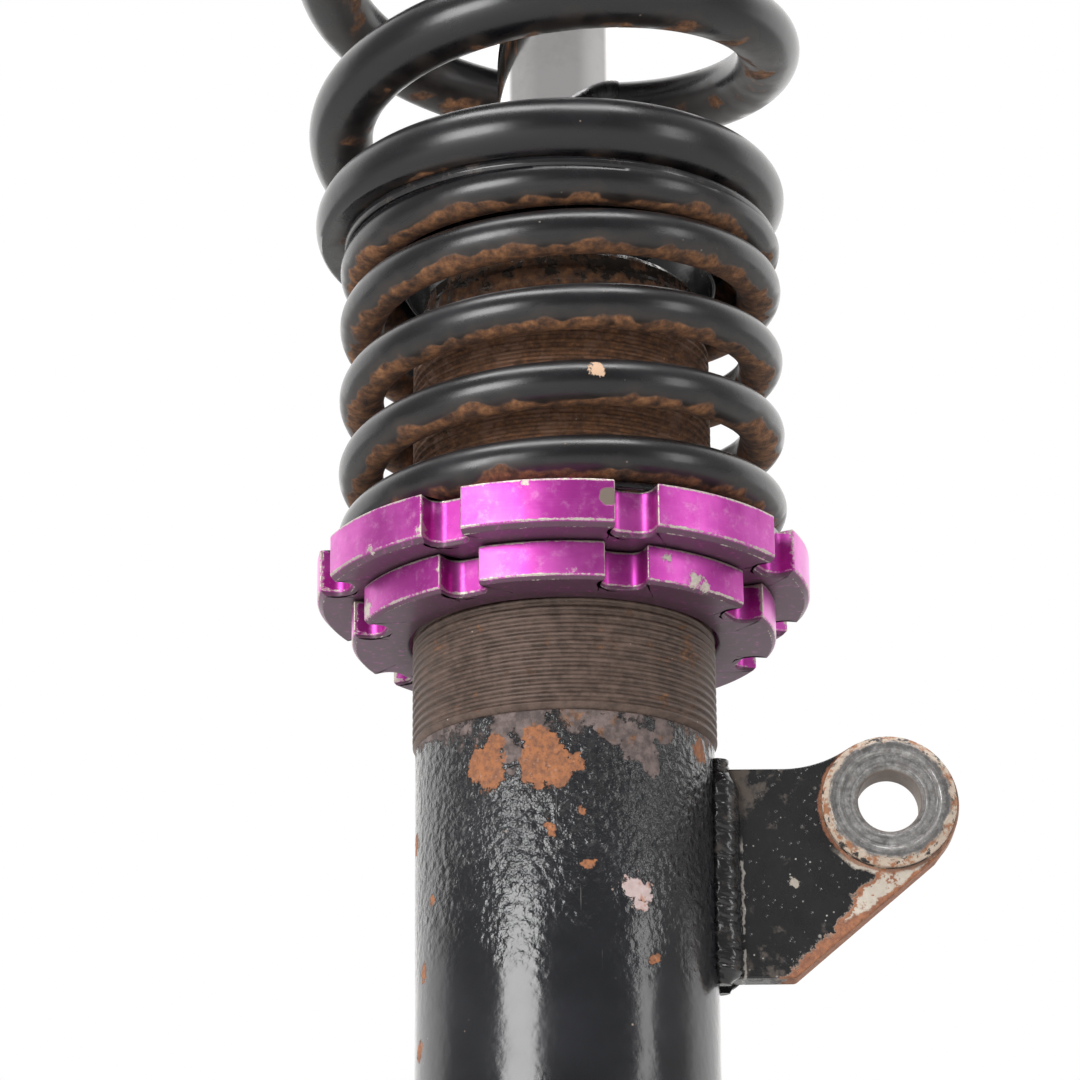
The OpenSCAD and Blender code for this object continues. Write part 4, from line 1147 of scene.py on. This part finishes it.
# %% Link boss
def boss_steel():
    """A turned boss: dark rings on its face, and a rim where rust has crept under the paint."""
    f = Finish("boss_steel")
    across, rise = f.x - EYE_X, f.z - EYE_Z
    r = across.maths("SQRT", across * across + rise * rise)
    turned_place = f.join(r, f.y, across * 0.03)
    lines = f.noise(0.30, 3.0, 0.65, turned_place)
    broad = f.noise(1.5, 2.0, 0.5, f.join(r, 0.0, 0.0))
    soil = f.ease(f.noise(2.2, 6.0, 0.72), 0.38, 0.66)
    patch = f.noise(1.6, 6.0, 0.75)
    tooled = f.ease(lines * 0.2 + broad * 0.4 + patch * 0.4, 0.40, 0.62)
    face = f.blend((0.115, 0.112, 0.112), (0.42, 0.41, 0.40), tooled)
    face = f.blend(face, (0.060, 0.054, 0.050), soil * 0.7)
    edge = f.noise(2.6, 5.0, 0.7) - 0.5
    rim = f.ease(r + edge * 2.6, BOSS_R - 1.6, BOSS_R - 0.8)
    cream = f.blend((0.36, 0.27, 0.20), (0.58, 0.50, 0.42), f.noise(1.4, 5.0, 0.7))
    cream = f.blend(cream, (0.300, 0.130, 0.060), f.ease(f.noise(2.0, 5.0, 0.7), 0.48, 0.60))
    cream = f.blend(cream, (0.022, 0.020, 0.019), f.ease(f.noise(1.8, 5.0, 0.7), 0.53, 0.60))
    hole = f.ease(r, 5.75, 5.35)
    colour = f.blend(f.blend(face, cream, rim), (0.115, 0.080, 0.060), hole * 0.85)
    side = f.ease(f.y, boss_low[1] + 1.6, boss_low[1] + 2.1) * rim
    colour = f.blend(colour, (0.020, 0.019, 0.019), side * f.ease(f.noise(2.2, 5.0, 0.7), 0.46, 0.54))
    rough = f.level(0.36, 0.62, soil.at_least(rim).at_least(hole))
    metal = (1 - rim) * (1 - soil * 0.7) * (1 - hole) * 0.85
    relief = lines * 0.02 + patch * 0.06 + f.noise(0.6, 4.0, 0.7) * 0.08 * (rim + soil * 0.5)
    return f.done(colour, rough, metal, relief)


HOLE_R = 5.3
front, back = boss_low[1], PLATE_HALF
boss_outline = [(HOLE_R, back, 0.5), (SLEEVE_R, back, 0.1), (SLEEVE_R, -PLATE_HALF, 0),
                (BOSS_R, -PLATE_HALF, 0.2), (BOSS_R, front + 1.3, 0.35), (BOSS_R - 1.3, front, 0.35),
                (BOSS_R - 2.8, front, 0.3), (BOSS_R - 3.4, front + 0.6, 0.2),
                (HOLE_R + 0.9, front + 0.6, 0.3), (HOLE_R, front + 1.4, 0.3)]
boss = lathe("turned_boss", boss_outline, boss_steel(), 128, 32, (EYE_X, 0, EYE_Z), along="Y")
settle(boss, "strut", "boss_steel", "link_boss")

# %% [markdown]
# ## Weld beads
# A bead is a round bar whose radius swells and shrinks once for every puddle of the weld. Each
# puddle freezes in a crescent, so the phase bends back away from the middle of the bead. The
# points that would lie inside the tube or the plate are moved out to their skins.

# %% Bead tree
BEAD_INPUTS = ["Bottom", "Top", "Reach", "Across", "Beside", "Tube", "Plate", "Puddle", "Swell"]


def bead_tree(sides, rings):
    bench, given = shape_tree("bead", BEAD_INPUTS)
    row = bench.add("GeometryNodeCurvePrimitiveLine", {"End": (0, 0, 1)})
    row = bench.add("GeometryNodeResampleCurve", {"Curve": row, "Count": rings + 1})
    share = bench.add("GeometryNodeInputIndex") / rings
    z = given["Bottom"] + (given["Top"] - given["Bottom"]) * share
    row = bench.add("GeometryNodeSetPosition", {"Geometry": row, "Position": bench.join(0.0, 0.0, z)})
    section = bench.add("GeometryNodeCurvePrimitiveCircle", {"Resolution": sides, "Radius": 1 * MM})
    bar = bench.add("GeometryNodeCurveToMesh", {"Curve": row, "Profile Curve": section, "Fill Caps": True})
    x, y, z = bench.split(bench.add("GeometryNodeInputPosition"))
    slant = (x - y) / MM * 0.7071
    wander = bench.add("ShaderNodeTexNoise", {"Vector": bench.join(0.0, 0.0, z), "Scale": 140.0})
    puddle = bench.add("ShaderNodeTexNoise", {"Scale": 500.0, "Detail": 3.0})
    phase = z / given["Puddle"] + (1 - slant * slant) * 0.8 + wander * 5.0
    wave = bench.ease(abs(phase.maths("FRACT", phase) - 0.5) * 2, 0.0, 0.9)
    ends = bench.ease(z, given["Bottom"], given["Bottom"] + 2.2 * MM)
    ends = ends * bench.ease(z, given["Top"], given["Top"] - 6.0 * MM)
    swell = 0.45 + ends * 0.55 + (wave - 0.5) * given["Swell"] + (wander - 0.5) * 0.35 + (puddle - 0.5) * 0.22
    reach = given["Reach"] / MM * swell
    east, beside = given["Across"] + x * reach, (given["Beside"] + y * reach).at_least(given["Plate"])
    radial = east.maths("SQRT", east * east + beside * beside)
    outside = (given["Tube"] / radial).at_least(1.0)
    lifted = bench.join(east * outside, beside * outside, z)
    bar = bench.add("GeometryNodeSetPosition", {"Geometry": bar, "Position": lifted})
    other = bench.add("GeometryNodeTransform", {"Geometry": bar, "Scale": (1, -1, 1)})
    pair = bench.add("GeometryNodeJoinGeometry", {0: bar})
    bench.plug(pair.socket.node.inputs[0], other)
    return end_tree(bench, pair, given["Finish"])


# %% Weld beads
def gloss_black(name, peel=0.05, grime=0.35, rust_share=0.0):
    """Gloss black paint on rough steel, with dirt in its hollows and rust where it has broken."""
    f = Finish(name)
    soil = f.ease(f.noise(3.4, 6.0, 0.72), 0.50, 0.72)
    black = f.blend((0.0045, 0.0045, 0.005), (0.014, 0.014, 0.016), f.noise(5.0, 4.0))
    black = f.blend(black, (0.085, 0.064, 0.050), soil * grime)
    black = f.blend(black, (0.28, 0.25, 0.22), f.specks(0.45, 3.0, 0.22) * 0.7)
    rust = f.ease(f.noise(4.5, 6.0, 0.72), 0.76 - rust_share, 0.80 - rust_share)
    rough = f.level(f.level(0.12, 0.24, f.noise(2.0, 3.0)), 0.75, rust.at_least(soil * grime))
    relief = f.noise(1.4, 3.0) * peel + f.noise(3.6, 2.0) * peel + rust * f.noise(0.7, 4.0, 0.7) * 0.1
    return f.done(f.blend(black, rust_colour(f), rust), rough, 0.0, relief)


beads = show("weld_beads", bpy.data.meshes.new("weld_beads"), gloss_black("weld_paint", 0.10, 0.5))
bead_sizes = {"Bottom": weld_z0, "Top": weld_z1, "Reach": 3.4, "Across": bead_x, "Beside": PLATE_HALF + 0.5,
              "Tube": tube_r, "Plate": PLATE_HALF, "Puddle": 2.3}
grow(beads, bead_tree(40, 260), 60, Swell=0.055, **{k: v * MM for k, v in bead_sizes.items()})
settle(beads, "strut", "weld_paint", "bracket_welds")

# %% [markdown]
# ## The coupling ring, the foot and the plain turned pieces
# The two springs meet on a thin ring with a spigot in each. It and the other plain pieces are
# turned outlines with rounded corners, which differ in their finish.

# %% Metals
def metal(name, dark, light, rough=(0.22, 0.42), grain=0.25, soil=0.3, sides=0.0):
    """Turned or pressed metal: fine lines round the axis, stains, and specks of dirt or rust."""
    f = Finish(name)
    lines = f.noise(grain, 3.0, 0.6, f.join(f.radius(), f.z, sides * f.x))
    cloud = f.noise(8.0, 5.0, 0.6)
    stain = f.ease(f.noise(3.2, 6.0, 0.72), 0.55, 0.72)
    colour = f.blend(dark, light, f.ease(lines * 0.5 + cloud * 0.5, 0.36, 0.64))
    colour = f.blend(colour, (0.115, 0.078, 0.055), stain * soil)
    colour = f.blend(colour, (0.200, 0.090, 0.040), f.specks(0.5, 4.0, soil * 0.5) * 0.8)
    rough_here = f.level(f.level(rough[0], rough[1], cloud), 0.65, stain * soil)
    return f.done(colour, rough_here, 1 - stain * soil, lines * 0.008 + f.noise(0.8, 4.0) * 0.010)


zinc = metal("zinc_steel", (0.42, 0.40, 0.36), (0.68, 0.64, 0.56), (0.25, 0.45))
bearing = metal("bearing_steel", (0.50, 0.50, 0.50), (0.72, 0.72, 0.71), (0.08, 0.18), 0.2, 0.12)
sintered = metal("sintered_steel", (0.13, 0.13, 0.13), (0.26, 0.26, 0.26), (0.42, 0.60), 0.9, 0.1, 1.0)
drawn = metal("inner_steel", (0.40, 0.40, 0.41), (0.58, 0.58, 0.59), (0.16, 0.30), 0.3, 0.05)
bronze = metal("bush_bronze", (0.36, 0.21, 0.10), (0.56, 0.36, 0.18), (0.24, 0.40), 0.3, 0.1)
print("metals:", zinc.name, bearing.name, sintered.name, drawn.name, bronze.name)

# %% Coupling ring and foot cap
coupler_in, coupler_out, coupler_z0, coupler_z1 = size_of("coupling_ring")
guide_r = coupler_in + 0.9
coupler_outline = [(coupler_in, coupler_z0, 0.2), (guide_r - 0.3, coupler_z0, 0.2),
                   (guide_r, coupler_z0 + 1, 0.3), (guide_r, helper_z1, 0.15),
                   (coupler_out - 0.3, helper_z1, 0.4),
                   (coupler_out, helper_z1 + 0.7, 0.5), (coupler_out, main_z0 - 0.7, 0.5),
                   (coupler_out - 0.3, main_z0, 0.4), (guide_r, main_z0, 0.15),
                   (guide_r, coupler_z1 - 1, 0.3),
                   (guide_r - 0.3, coupler_z1, 0.2), (coupler_in, coupler_z1, 0.2)]
coupler = lathe("spring_coupler", coupler_outline, gloss_black("coupler_black", 0.02, 0.4))
settle(coupler, "coupler", "coupler_black", "coupling_ring")
foot_r, foot_top = size_of("foot_cap")[1], size_of("foot_cap")[3]
foot = lathe("foot_closure", [(0, 1.5, 0), (foot_r - 5, 1.5, 1.0), (foot_r - 2, 0, 1.0), (foot_r, 0, 0.4),
                              (foot_r, foot_top, 0.3), (0, foot_top, 0)],
             gloss_black("foot_paint", 0.05, 0.4, 0.08), 96)
settle(foot, "strut", "tube_paint", "foot_cap")

# %% [markdown]
# ## The bump stop and the upper seat
# The bump stop is a bellows of microcellular foam in a pressed cup. Above it the main spring
# stands against a rubber ring in a dished steel seat.

# %% Foam and bump stop
def foam(name):
    """Microcellular polyurethane: a dull skin full of tiny open cells."""
    f = Finish(name)
    open_cells = f.ease(f.cells(0.42), 0.42, 0.12)
    dust = f.ease(f.noise(5.0, 5.0, 0.65), 0.40, 0.75)
    colour = f.blend((0.020, 0.019, 0.018), (0.060, 0.055, 0.048), dust)
    colour = f.blend(colour, (0.008, 0.008, 0.007), open_cells * 0.7)
    return f.done(colour, f.level(0.68, 0.88, dust), 0.0, f.noise(2.5) * 0.08 - open_cells * 0.07)


stop_in, stop_out, stop_z0, stop_z1 = size_of("bump_stop")
bulge_h = (stop_z1 - stop_z0) / 4
stop_outline = [(stop_in, stop_z0, 0.6)]
for bulge in range(4):
    foot_z = stop_z0 + bulge * bulge_h
    first = bulge == 0
    stop_outline += [(stop_out - (6.0 if first else 3.5), foot_z, 1.5 if first else 2.2),
                     (stop_out - (2.0 if first else 0.0), foot_z + 0.35 * bulge_h, 4),
                     (stop_out, foot_z + 0.7 * bulge_h, 3.5)]
stop_outline += [(stop_out - 3.5, stop_z1, 0.5), (stop_in, stop_z1, 0.5)]
settle(lathe("bellows_stop", stop_outline, foam("bump_foam")), "rod", "bump_foam", "bump_stop")
cup_in, cup_out, cup_z0, cup_z1 = size_of("bump_stop_cup")
cup_outline = [(cup_in, cup_z1 - 3, 0.3), (cup_out - 2, cup_z1 - 3, 1.0), (cup_out - 2, cup_z0, 0.4),
               (cup_out, cup_z0, 0.6), (cup_out, cup_z1, 1.5), (cup_in, cup_z1, 0.3)]
settle(lathe("stop_cup", cup_outline, gloss_black("cup_paint", 0.02, 0.3)),
       "rod", "seat_paint", "bump_stop_cup")

# %% Insulator, seat and spacer
pad_in, pad_out, pad_z0, pad_z1 = size_of("seat_insulator")
pad_outline = [(pad_in + 2, main_z1, 0.5), (pad_out, main_z1, 0.8), (pad_out, pad_z1, 0.3),
               (pad_in, pad_z1, 0.3), (pad_in, pad_z0, 0.8), (pad_in + 2, pad_z0, 0.8)]
settle(lathe("seat_pad", pad_outline, rubber("pad_rubber", 0.7)), "rod", "seal_rubber", "seat_insulator")
seat_in, seat_out, seat_low, seat_z1 = size_of("upper_seat")
seat_outline = [(seat_in, seat_z0, 0.2), (seat_out - 3, seat_z0, 0.9), (seat_out - 3, seat_low, 0.8),
                (seat_out, seat_low, 0.9), (seat_out, seat_z1 - 2, 2.2), (seat_out - 2, seat_z1, 2.2),
                (seat_out - 11, seat_z1, 2), (seat_out - 13, seat_z1 - 0.8, 2),
                (seat_in + 17, seat_z1 - 0.8, 2), (seat_in + 15, seat_z1, 2), (seat_in, seat_z1, 0.3)]
settle(lathe("dished_seat", seat_outline, gloss_black("seat_paint", 0.04, 0.35, 0.05), 200),
       "rod", "seat_paint", "upper_seat")
spacer_in, spacer_out, spacer_z0, spacer_z1 = size_of("seat_spacer")
spacer_outline = [(spacer_in, spacer_z0, 0.3), (spacer_out, spacer_z0, 0.5), (spacer_out, spacer_z0 + 3, 0.7),
                  (spacer_out - 6, spacer_z0 + 6, 1.5), (spacer_out - 6, spacer_z1, 0.5),
                  (spacer_in, spacer_z1, 0.3)]
settle(lathe("shouldered_spacer", spacer_outline, zinc, 96), "rod", "zinc_steel", "seat_spacer")

# %% [markdown]
# ## The top mount
# A ball bearing lets the strut turn under its mount. The races are turned with a track for the
# balls, and the balls and the three studs are each one shape, repeated round a circle by a tree.

# %% Ring tree
def ring_tree():
    bench, given = shape_tree("ring", ["Count", "Circle", "Start"])
    circle = bench.add("GeometryNodeMeshCircle", {"Vertices": given["Count"], "Radius": given["Circle"]})
    turn = bench.add("GeometryNodeInputIndex") / given["Count"] * TURN
    sockets = {"Points": circle, "Instance": given["Geometry"], "Rotation": bench.join(0.0, 0.0, turn)}
    copies = bench.add("GeometryNodeInstanceOnPoints", sockets)
    sockets = {"Geometry": copies, "Rotation": bench.join(0.0, 0.0, given["Start"])}
    return end_tree(bench, bench.add("GeometryNodeTransform", sockets), given["Finish"])


RING = ring_tree()

# %% Bearing
race_in, race_out, race_z0, race_z1 = size_of("bearing_inner_race")
outer_in, outer_out = size_of("bearing_outer_race")[:2]
BALL_R = 3.6
BALLS = 9
ball_circle = (race_out + outer_in) / 2
race_mid = (race_z0 + race_z1) / 2
reach = BALL_R + 0.05
gap = ball_circle - race_out
half_track = math.degrees(math.acos(gap / reach))


def track(side):
    """The ball track of a race, from low to high. side is -1 for the inner race."""
    turns = np.radians(np.linspace(-half_track, half_track, 15))
    return [(ball_circle + side * reach * math.cos(a), race_mid + reach * math.sin(a), 0) for a in turns]


inner = [(race_in, race_z0, 0.4), (race_out, race_z0, 0.4), *track(-1), (race_out, race_z1, 0.4),
         (race_in, race_z1, 0.4)]
outer = [(outer_out, race_z0, 0.5), (outer_in, race_z0, 0.4), *track(1), (outer_in, race_z1, 0.4),
         (outer_out, race_z1, 0.5)]
settle(lathe("inner_race", inner, bearing, 128), "rod", "bearing_steel", "bearing_inner_race")
settle(lathe("outer_race", outer, bearing, 144), "mount", "bearing_steel", "bearing_outer_race")
pole_to_pole = np.radians(np.linspace(-90, 90, 17))
ball = [(max(0.0, BALL_R * math.cos(a)), race_mid + BALL_R * math.sin(a), 0) for a in pole_to_pole]
balls = lathe("ball_set", ball, bearing, 32, 60)
grow(balls, RING, 60, Count=float(BALLS), Circle=ball_circle * MM, Start=0.0)
settle(balls, "rod", "bearing_steel", "bearing_balls")
shell_out, shell_z0, shell_z1 = size_of("bearing_cup")[1:]
shell_outline = [(outer_out - 2.5, shell_z0, 0.4), (shell_out, shell_z0, 1.6), (shell_out, shell_z1, 0.8),
                 (outer_out - 1.5, shell_z1, 0.6), (outer_out - 1.5, race_z1, 0.2), (outer_out, race_z1, 0.1),
                 (outer_out, race_z0, 0.1), (outer_out - 2.5, race_z0, 0.2)]
settle(lathe("bearing_shell", shell_outline, zinc), "mount", "zinc_steel", "bearing_cup")

# %% Mount rubber
cushion_in, cushion_out = size_of("mount_rubber")[:2]
cushion = [(cushion_in, race_z0 - 1, 0.5), (cushion_in + 5, race_z0 - 1, 3),
           (cushion_out - 6, race_z0 + 2, 3), (cushion_out, race_z0 + 2, 0.5),
           (cushion_out, race_z1 + 1, 0.5), (cushion_out - 6, race_z1 + 1, 3),
           (cushion_in + 5, race_z1 - 2, 3), (cushion_in, race_z1 - 2, 0.5)]
settle(lathe("cushion", cushion, rubber("cushion_rubber", 0.9, 0.014), 200),
       "mount", "seal_rubber", "mount_rubber")

# %% Mount plate
STUD_CIRCLE = 55
LOBE_R = 11
stud_bottom, stud_top = size_of("mount_studs")[2:]
flange_z0 = stud_bottom + 2.5
flange_z1 = flange_z0 + 3
wall_r = cushion_out + 2.5
disc_r = wall_r + 6


def flange_reach(bearing):
    """The flange's edge in a direction: a disc with a lobe round each stud."""
    turn = math.radians((bearing - 30) % 120 - 60)
    side = abs(math.sin(turn)) * STUD_CIRCLE
    on_lobe = STUD_CIRCLE * math.cos(turn) + math.sqrt(max(0.0, LOBE_R ** 2 - side ** 2))
    if side >= LOBE_R or on_lobe * abs(math.sin(turn)) > LOBE_R:
        spread = STUD_CIRCLE - cushion_out - 1
        slope = math.tan(abs(turn))
        run = (STUD_CIRCLE * slope - LOBE_R) / (LOBE_R + spread * slope)
        on_lobe = (STUD_CIRCLE - spread * run) / math.cos(turn)
    return max(disc_r, on_lobe)


sides = 480
bearings = np.arange(sides) * 360 / sides
edge_reach = np.array([flange_reach(a) for a in bearings])
for _ in range(3):
    edge_reach = (np.roll(edge_reach, 1) + 2 * edge_reach + np.roll(edge_reach, -1)) / 4
plate_section = soften([(cushion_out, race_z0 + 1, 0.5), (wall_r, race_z0 + 1, 0.6), (wall_r, flange_z0, 1.2),
                        (999, flange_z0, 0), (999, flange_z1, 0), (wall_r, flange_z1, 1.2),
                        (wall_r, race_z1 + 3, 1.6), (cushion_out - 5, race_z1 + 3, 0.8),
                        (cushion_out - 5, race_z1 + 1, 0.4), (cushion_out, race_z1 + 1, 0.2)])
plate_loops = []
for r, z in plate_section:
    if r < 998:
        plate_loops.append(loop_at(r, np.radians(bearings), z))
        continue
    face = -1 if z == flange_z0 else 1
    for a in np.radians([0, 45, 90] if face < 0 else [90, 45, 0]):
        radii = edge_reach - 0.6 + 0.6 * math.sin(a)
        height = z - face * 0.6 * (1 - math.cos(a))
        plate_loops.append(loop_at(radii, np.radians(bearings), height))
top_plate = skin("top_plate", plate_loops, gloss_black("plate_paint", 0.04, 0.35, 0.06))
STUD_R = 4
KNURL = 0.3
stud_turns = np.radians([90, 210, 330])
stud_holes = [drill(STUD_CIRCLE * math.cos(a), STUD_CIRCLE * math.sin(a), STUD_R + KNURL, flange_z0 - 2,
                    flange_z1 + 2, 48) for a in stud_turns]
settle(bore_out(top_plate, stud_holes), "mount", "seat_paint", "mount_plate")

# %% Studs
stud_outline = [(0, stud_bottom, 0), (STUD_R + 2.5, stud_bottom, 0.6), (STUD_R + 2.5, flange_z0, 0.2),
                (STUD_R + KNURL, flange_z0, 0), (STUD_R + KNURL, flange_z1, 0.1),
                (STUD_R, flange_z1 + 0.1, 0)]
stud_outline += wall_points(STUD_R, flange_z1 + 1.5, stud_top - 1.0, 1.25, 8)
stud_outline += [(STUD_R - 1, stud_top, 0.3), (0, stud_top, 0)]
studs = lathe("plate_studs", stud_outline, zinc, 40, 50)
grow(studs, THREAD, 50, Radius=STUD_R * MM, Pitch=1.25 * MM, Depth=0.55 * MM, Bottom=(flange_z1 + 2) * MM,
     Top=stud_top * MM, **{"Run out": 1.2 * MM})
grow(studs, RING, 50, Count=3.0, Circle=STUD_CIRCLE * MM, Start=math.pi / 2)
settle(studs, "mount", "zinc_steel", "mount_studs")

# %% Washer and nut
washer_in, washer_out, washer_z0, washer_z1 = size_of("rod_washer")
settle(lathe("rod_top_washer", [(washer_in, washer_z0, 0.3), (washer_out, washer_z0, 0.6),
                                (washer_out, washer_z1, 0.8), (washer_in, washer_z1, 0.4)], zinc, 96),
       "rod", "zinc_steel", "rod_washer")
NUT_FLATS = 22
nut_bore, nut_z0, nut_z1 = (size_of("rod_nut")[i] for i in (0, 2, 3))
nut_angles = np.arange(144) * TURN / 144
nut_sixth = np.mod(nut_angles, TURN / 6) - TURN / 12
nut_reach = NUT_FLATS / 2 / np.cos(nut_sixth)
nut_loops = []
for z, cap in ((nut_z0, nut_bore + 0.6), (nut_z0, NUT_FLATS / 2 - 0.4), (nut_z0 + 0.5, NUT_FLATS / 2 + 0.5),
               (nut_z0 + 1.2, 20), (nut_z1 - 4.2, 20), (nut_z1 - 3.5, NUT_FLATS / 2 + 0.5),
               (nut_z1 - 3, NUT_FLATS / 2 - 0.4), (nut_z1 - 3, NUT_FLATS / 2 - 1.3),
               (nut_z1 - 2.8, NUT_FLATS / 2 - 1.5), (nut_z1 - 0.5, NUT_FLATS / 2 - 1.6),
               (nut_z1, NUT_FLATS / 2 - 2.1), (nut_z1, nut_bore + 0.6), (nut_z1 - 0.6, nut_bore),
               (nut_z0 + 0.6, nut_bore)):
    radii = np.minimum(nut_reach, cap)
    nut_loops.append(loop_at(radii, nut_angles, z))
settle(skin("lock_nut", nut_loops, zinc, sharp=25), "rod", "zinc_steel", "rod_nut")

# %% [markdown]
# ## The sealed pieces
# The cartridge inside the tube keeps its CAD shapes, because nobody sees them until the strut is
# cut open. They still get their true finishes.

# %% Finishes inside
inside = {"rod_guide": sintered, "piston": sintered, "foot_valve": sintered, "guide_bush": bronze,
          "piston_band": bronze, "pressure_tube": drawn, "compression_shims": drawn, "rebound_shims": drawn,
          "rebound_stop": drawn, "piston_nut": zinc, "rod_seal": rubber("seal_rubber"),
          "rebound_buffer": rubber("buffer_rubber", 0.8)}
for node, finish in inside.items():
    nodes[node].data.materials.clear()
    nodes[node].data.materials.append(finish)
print("sealed pieces with a finish:", len(inside))
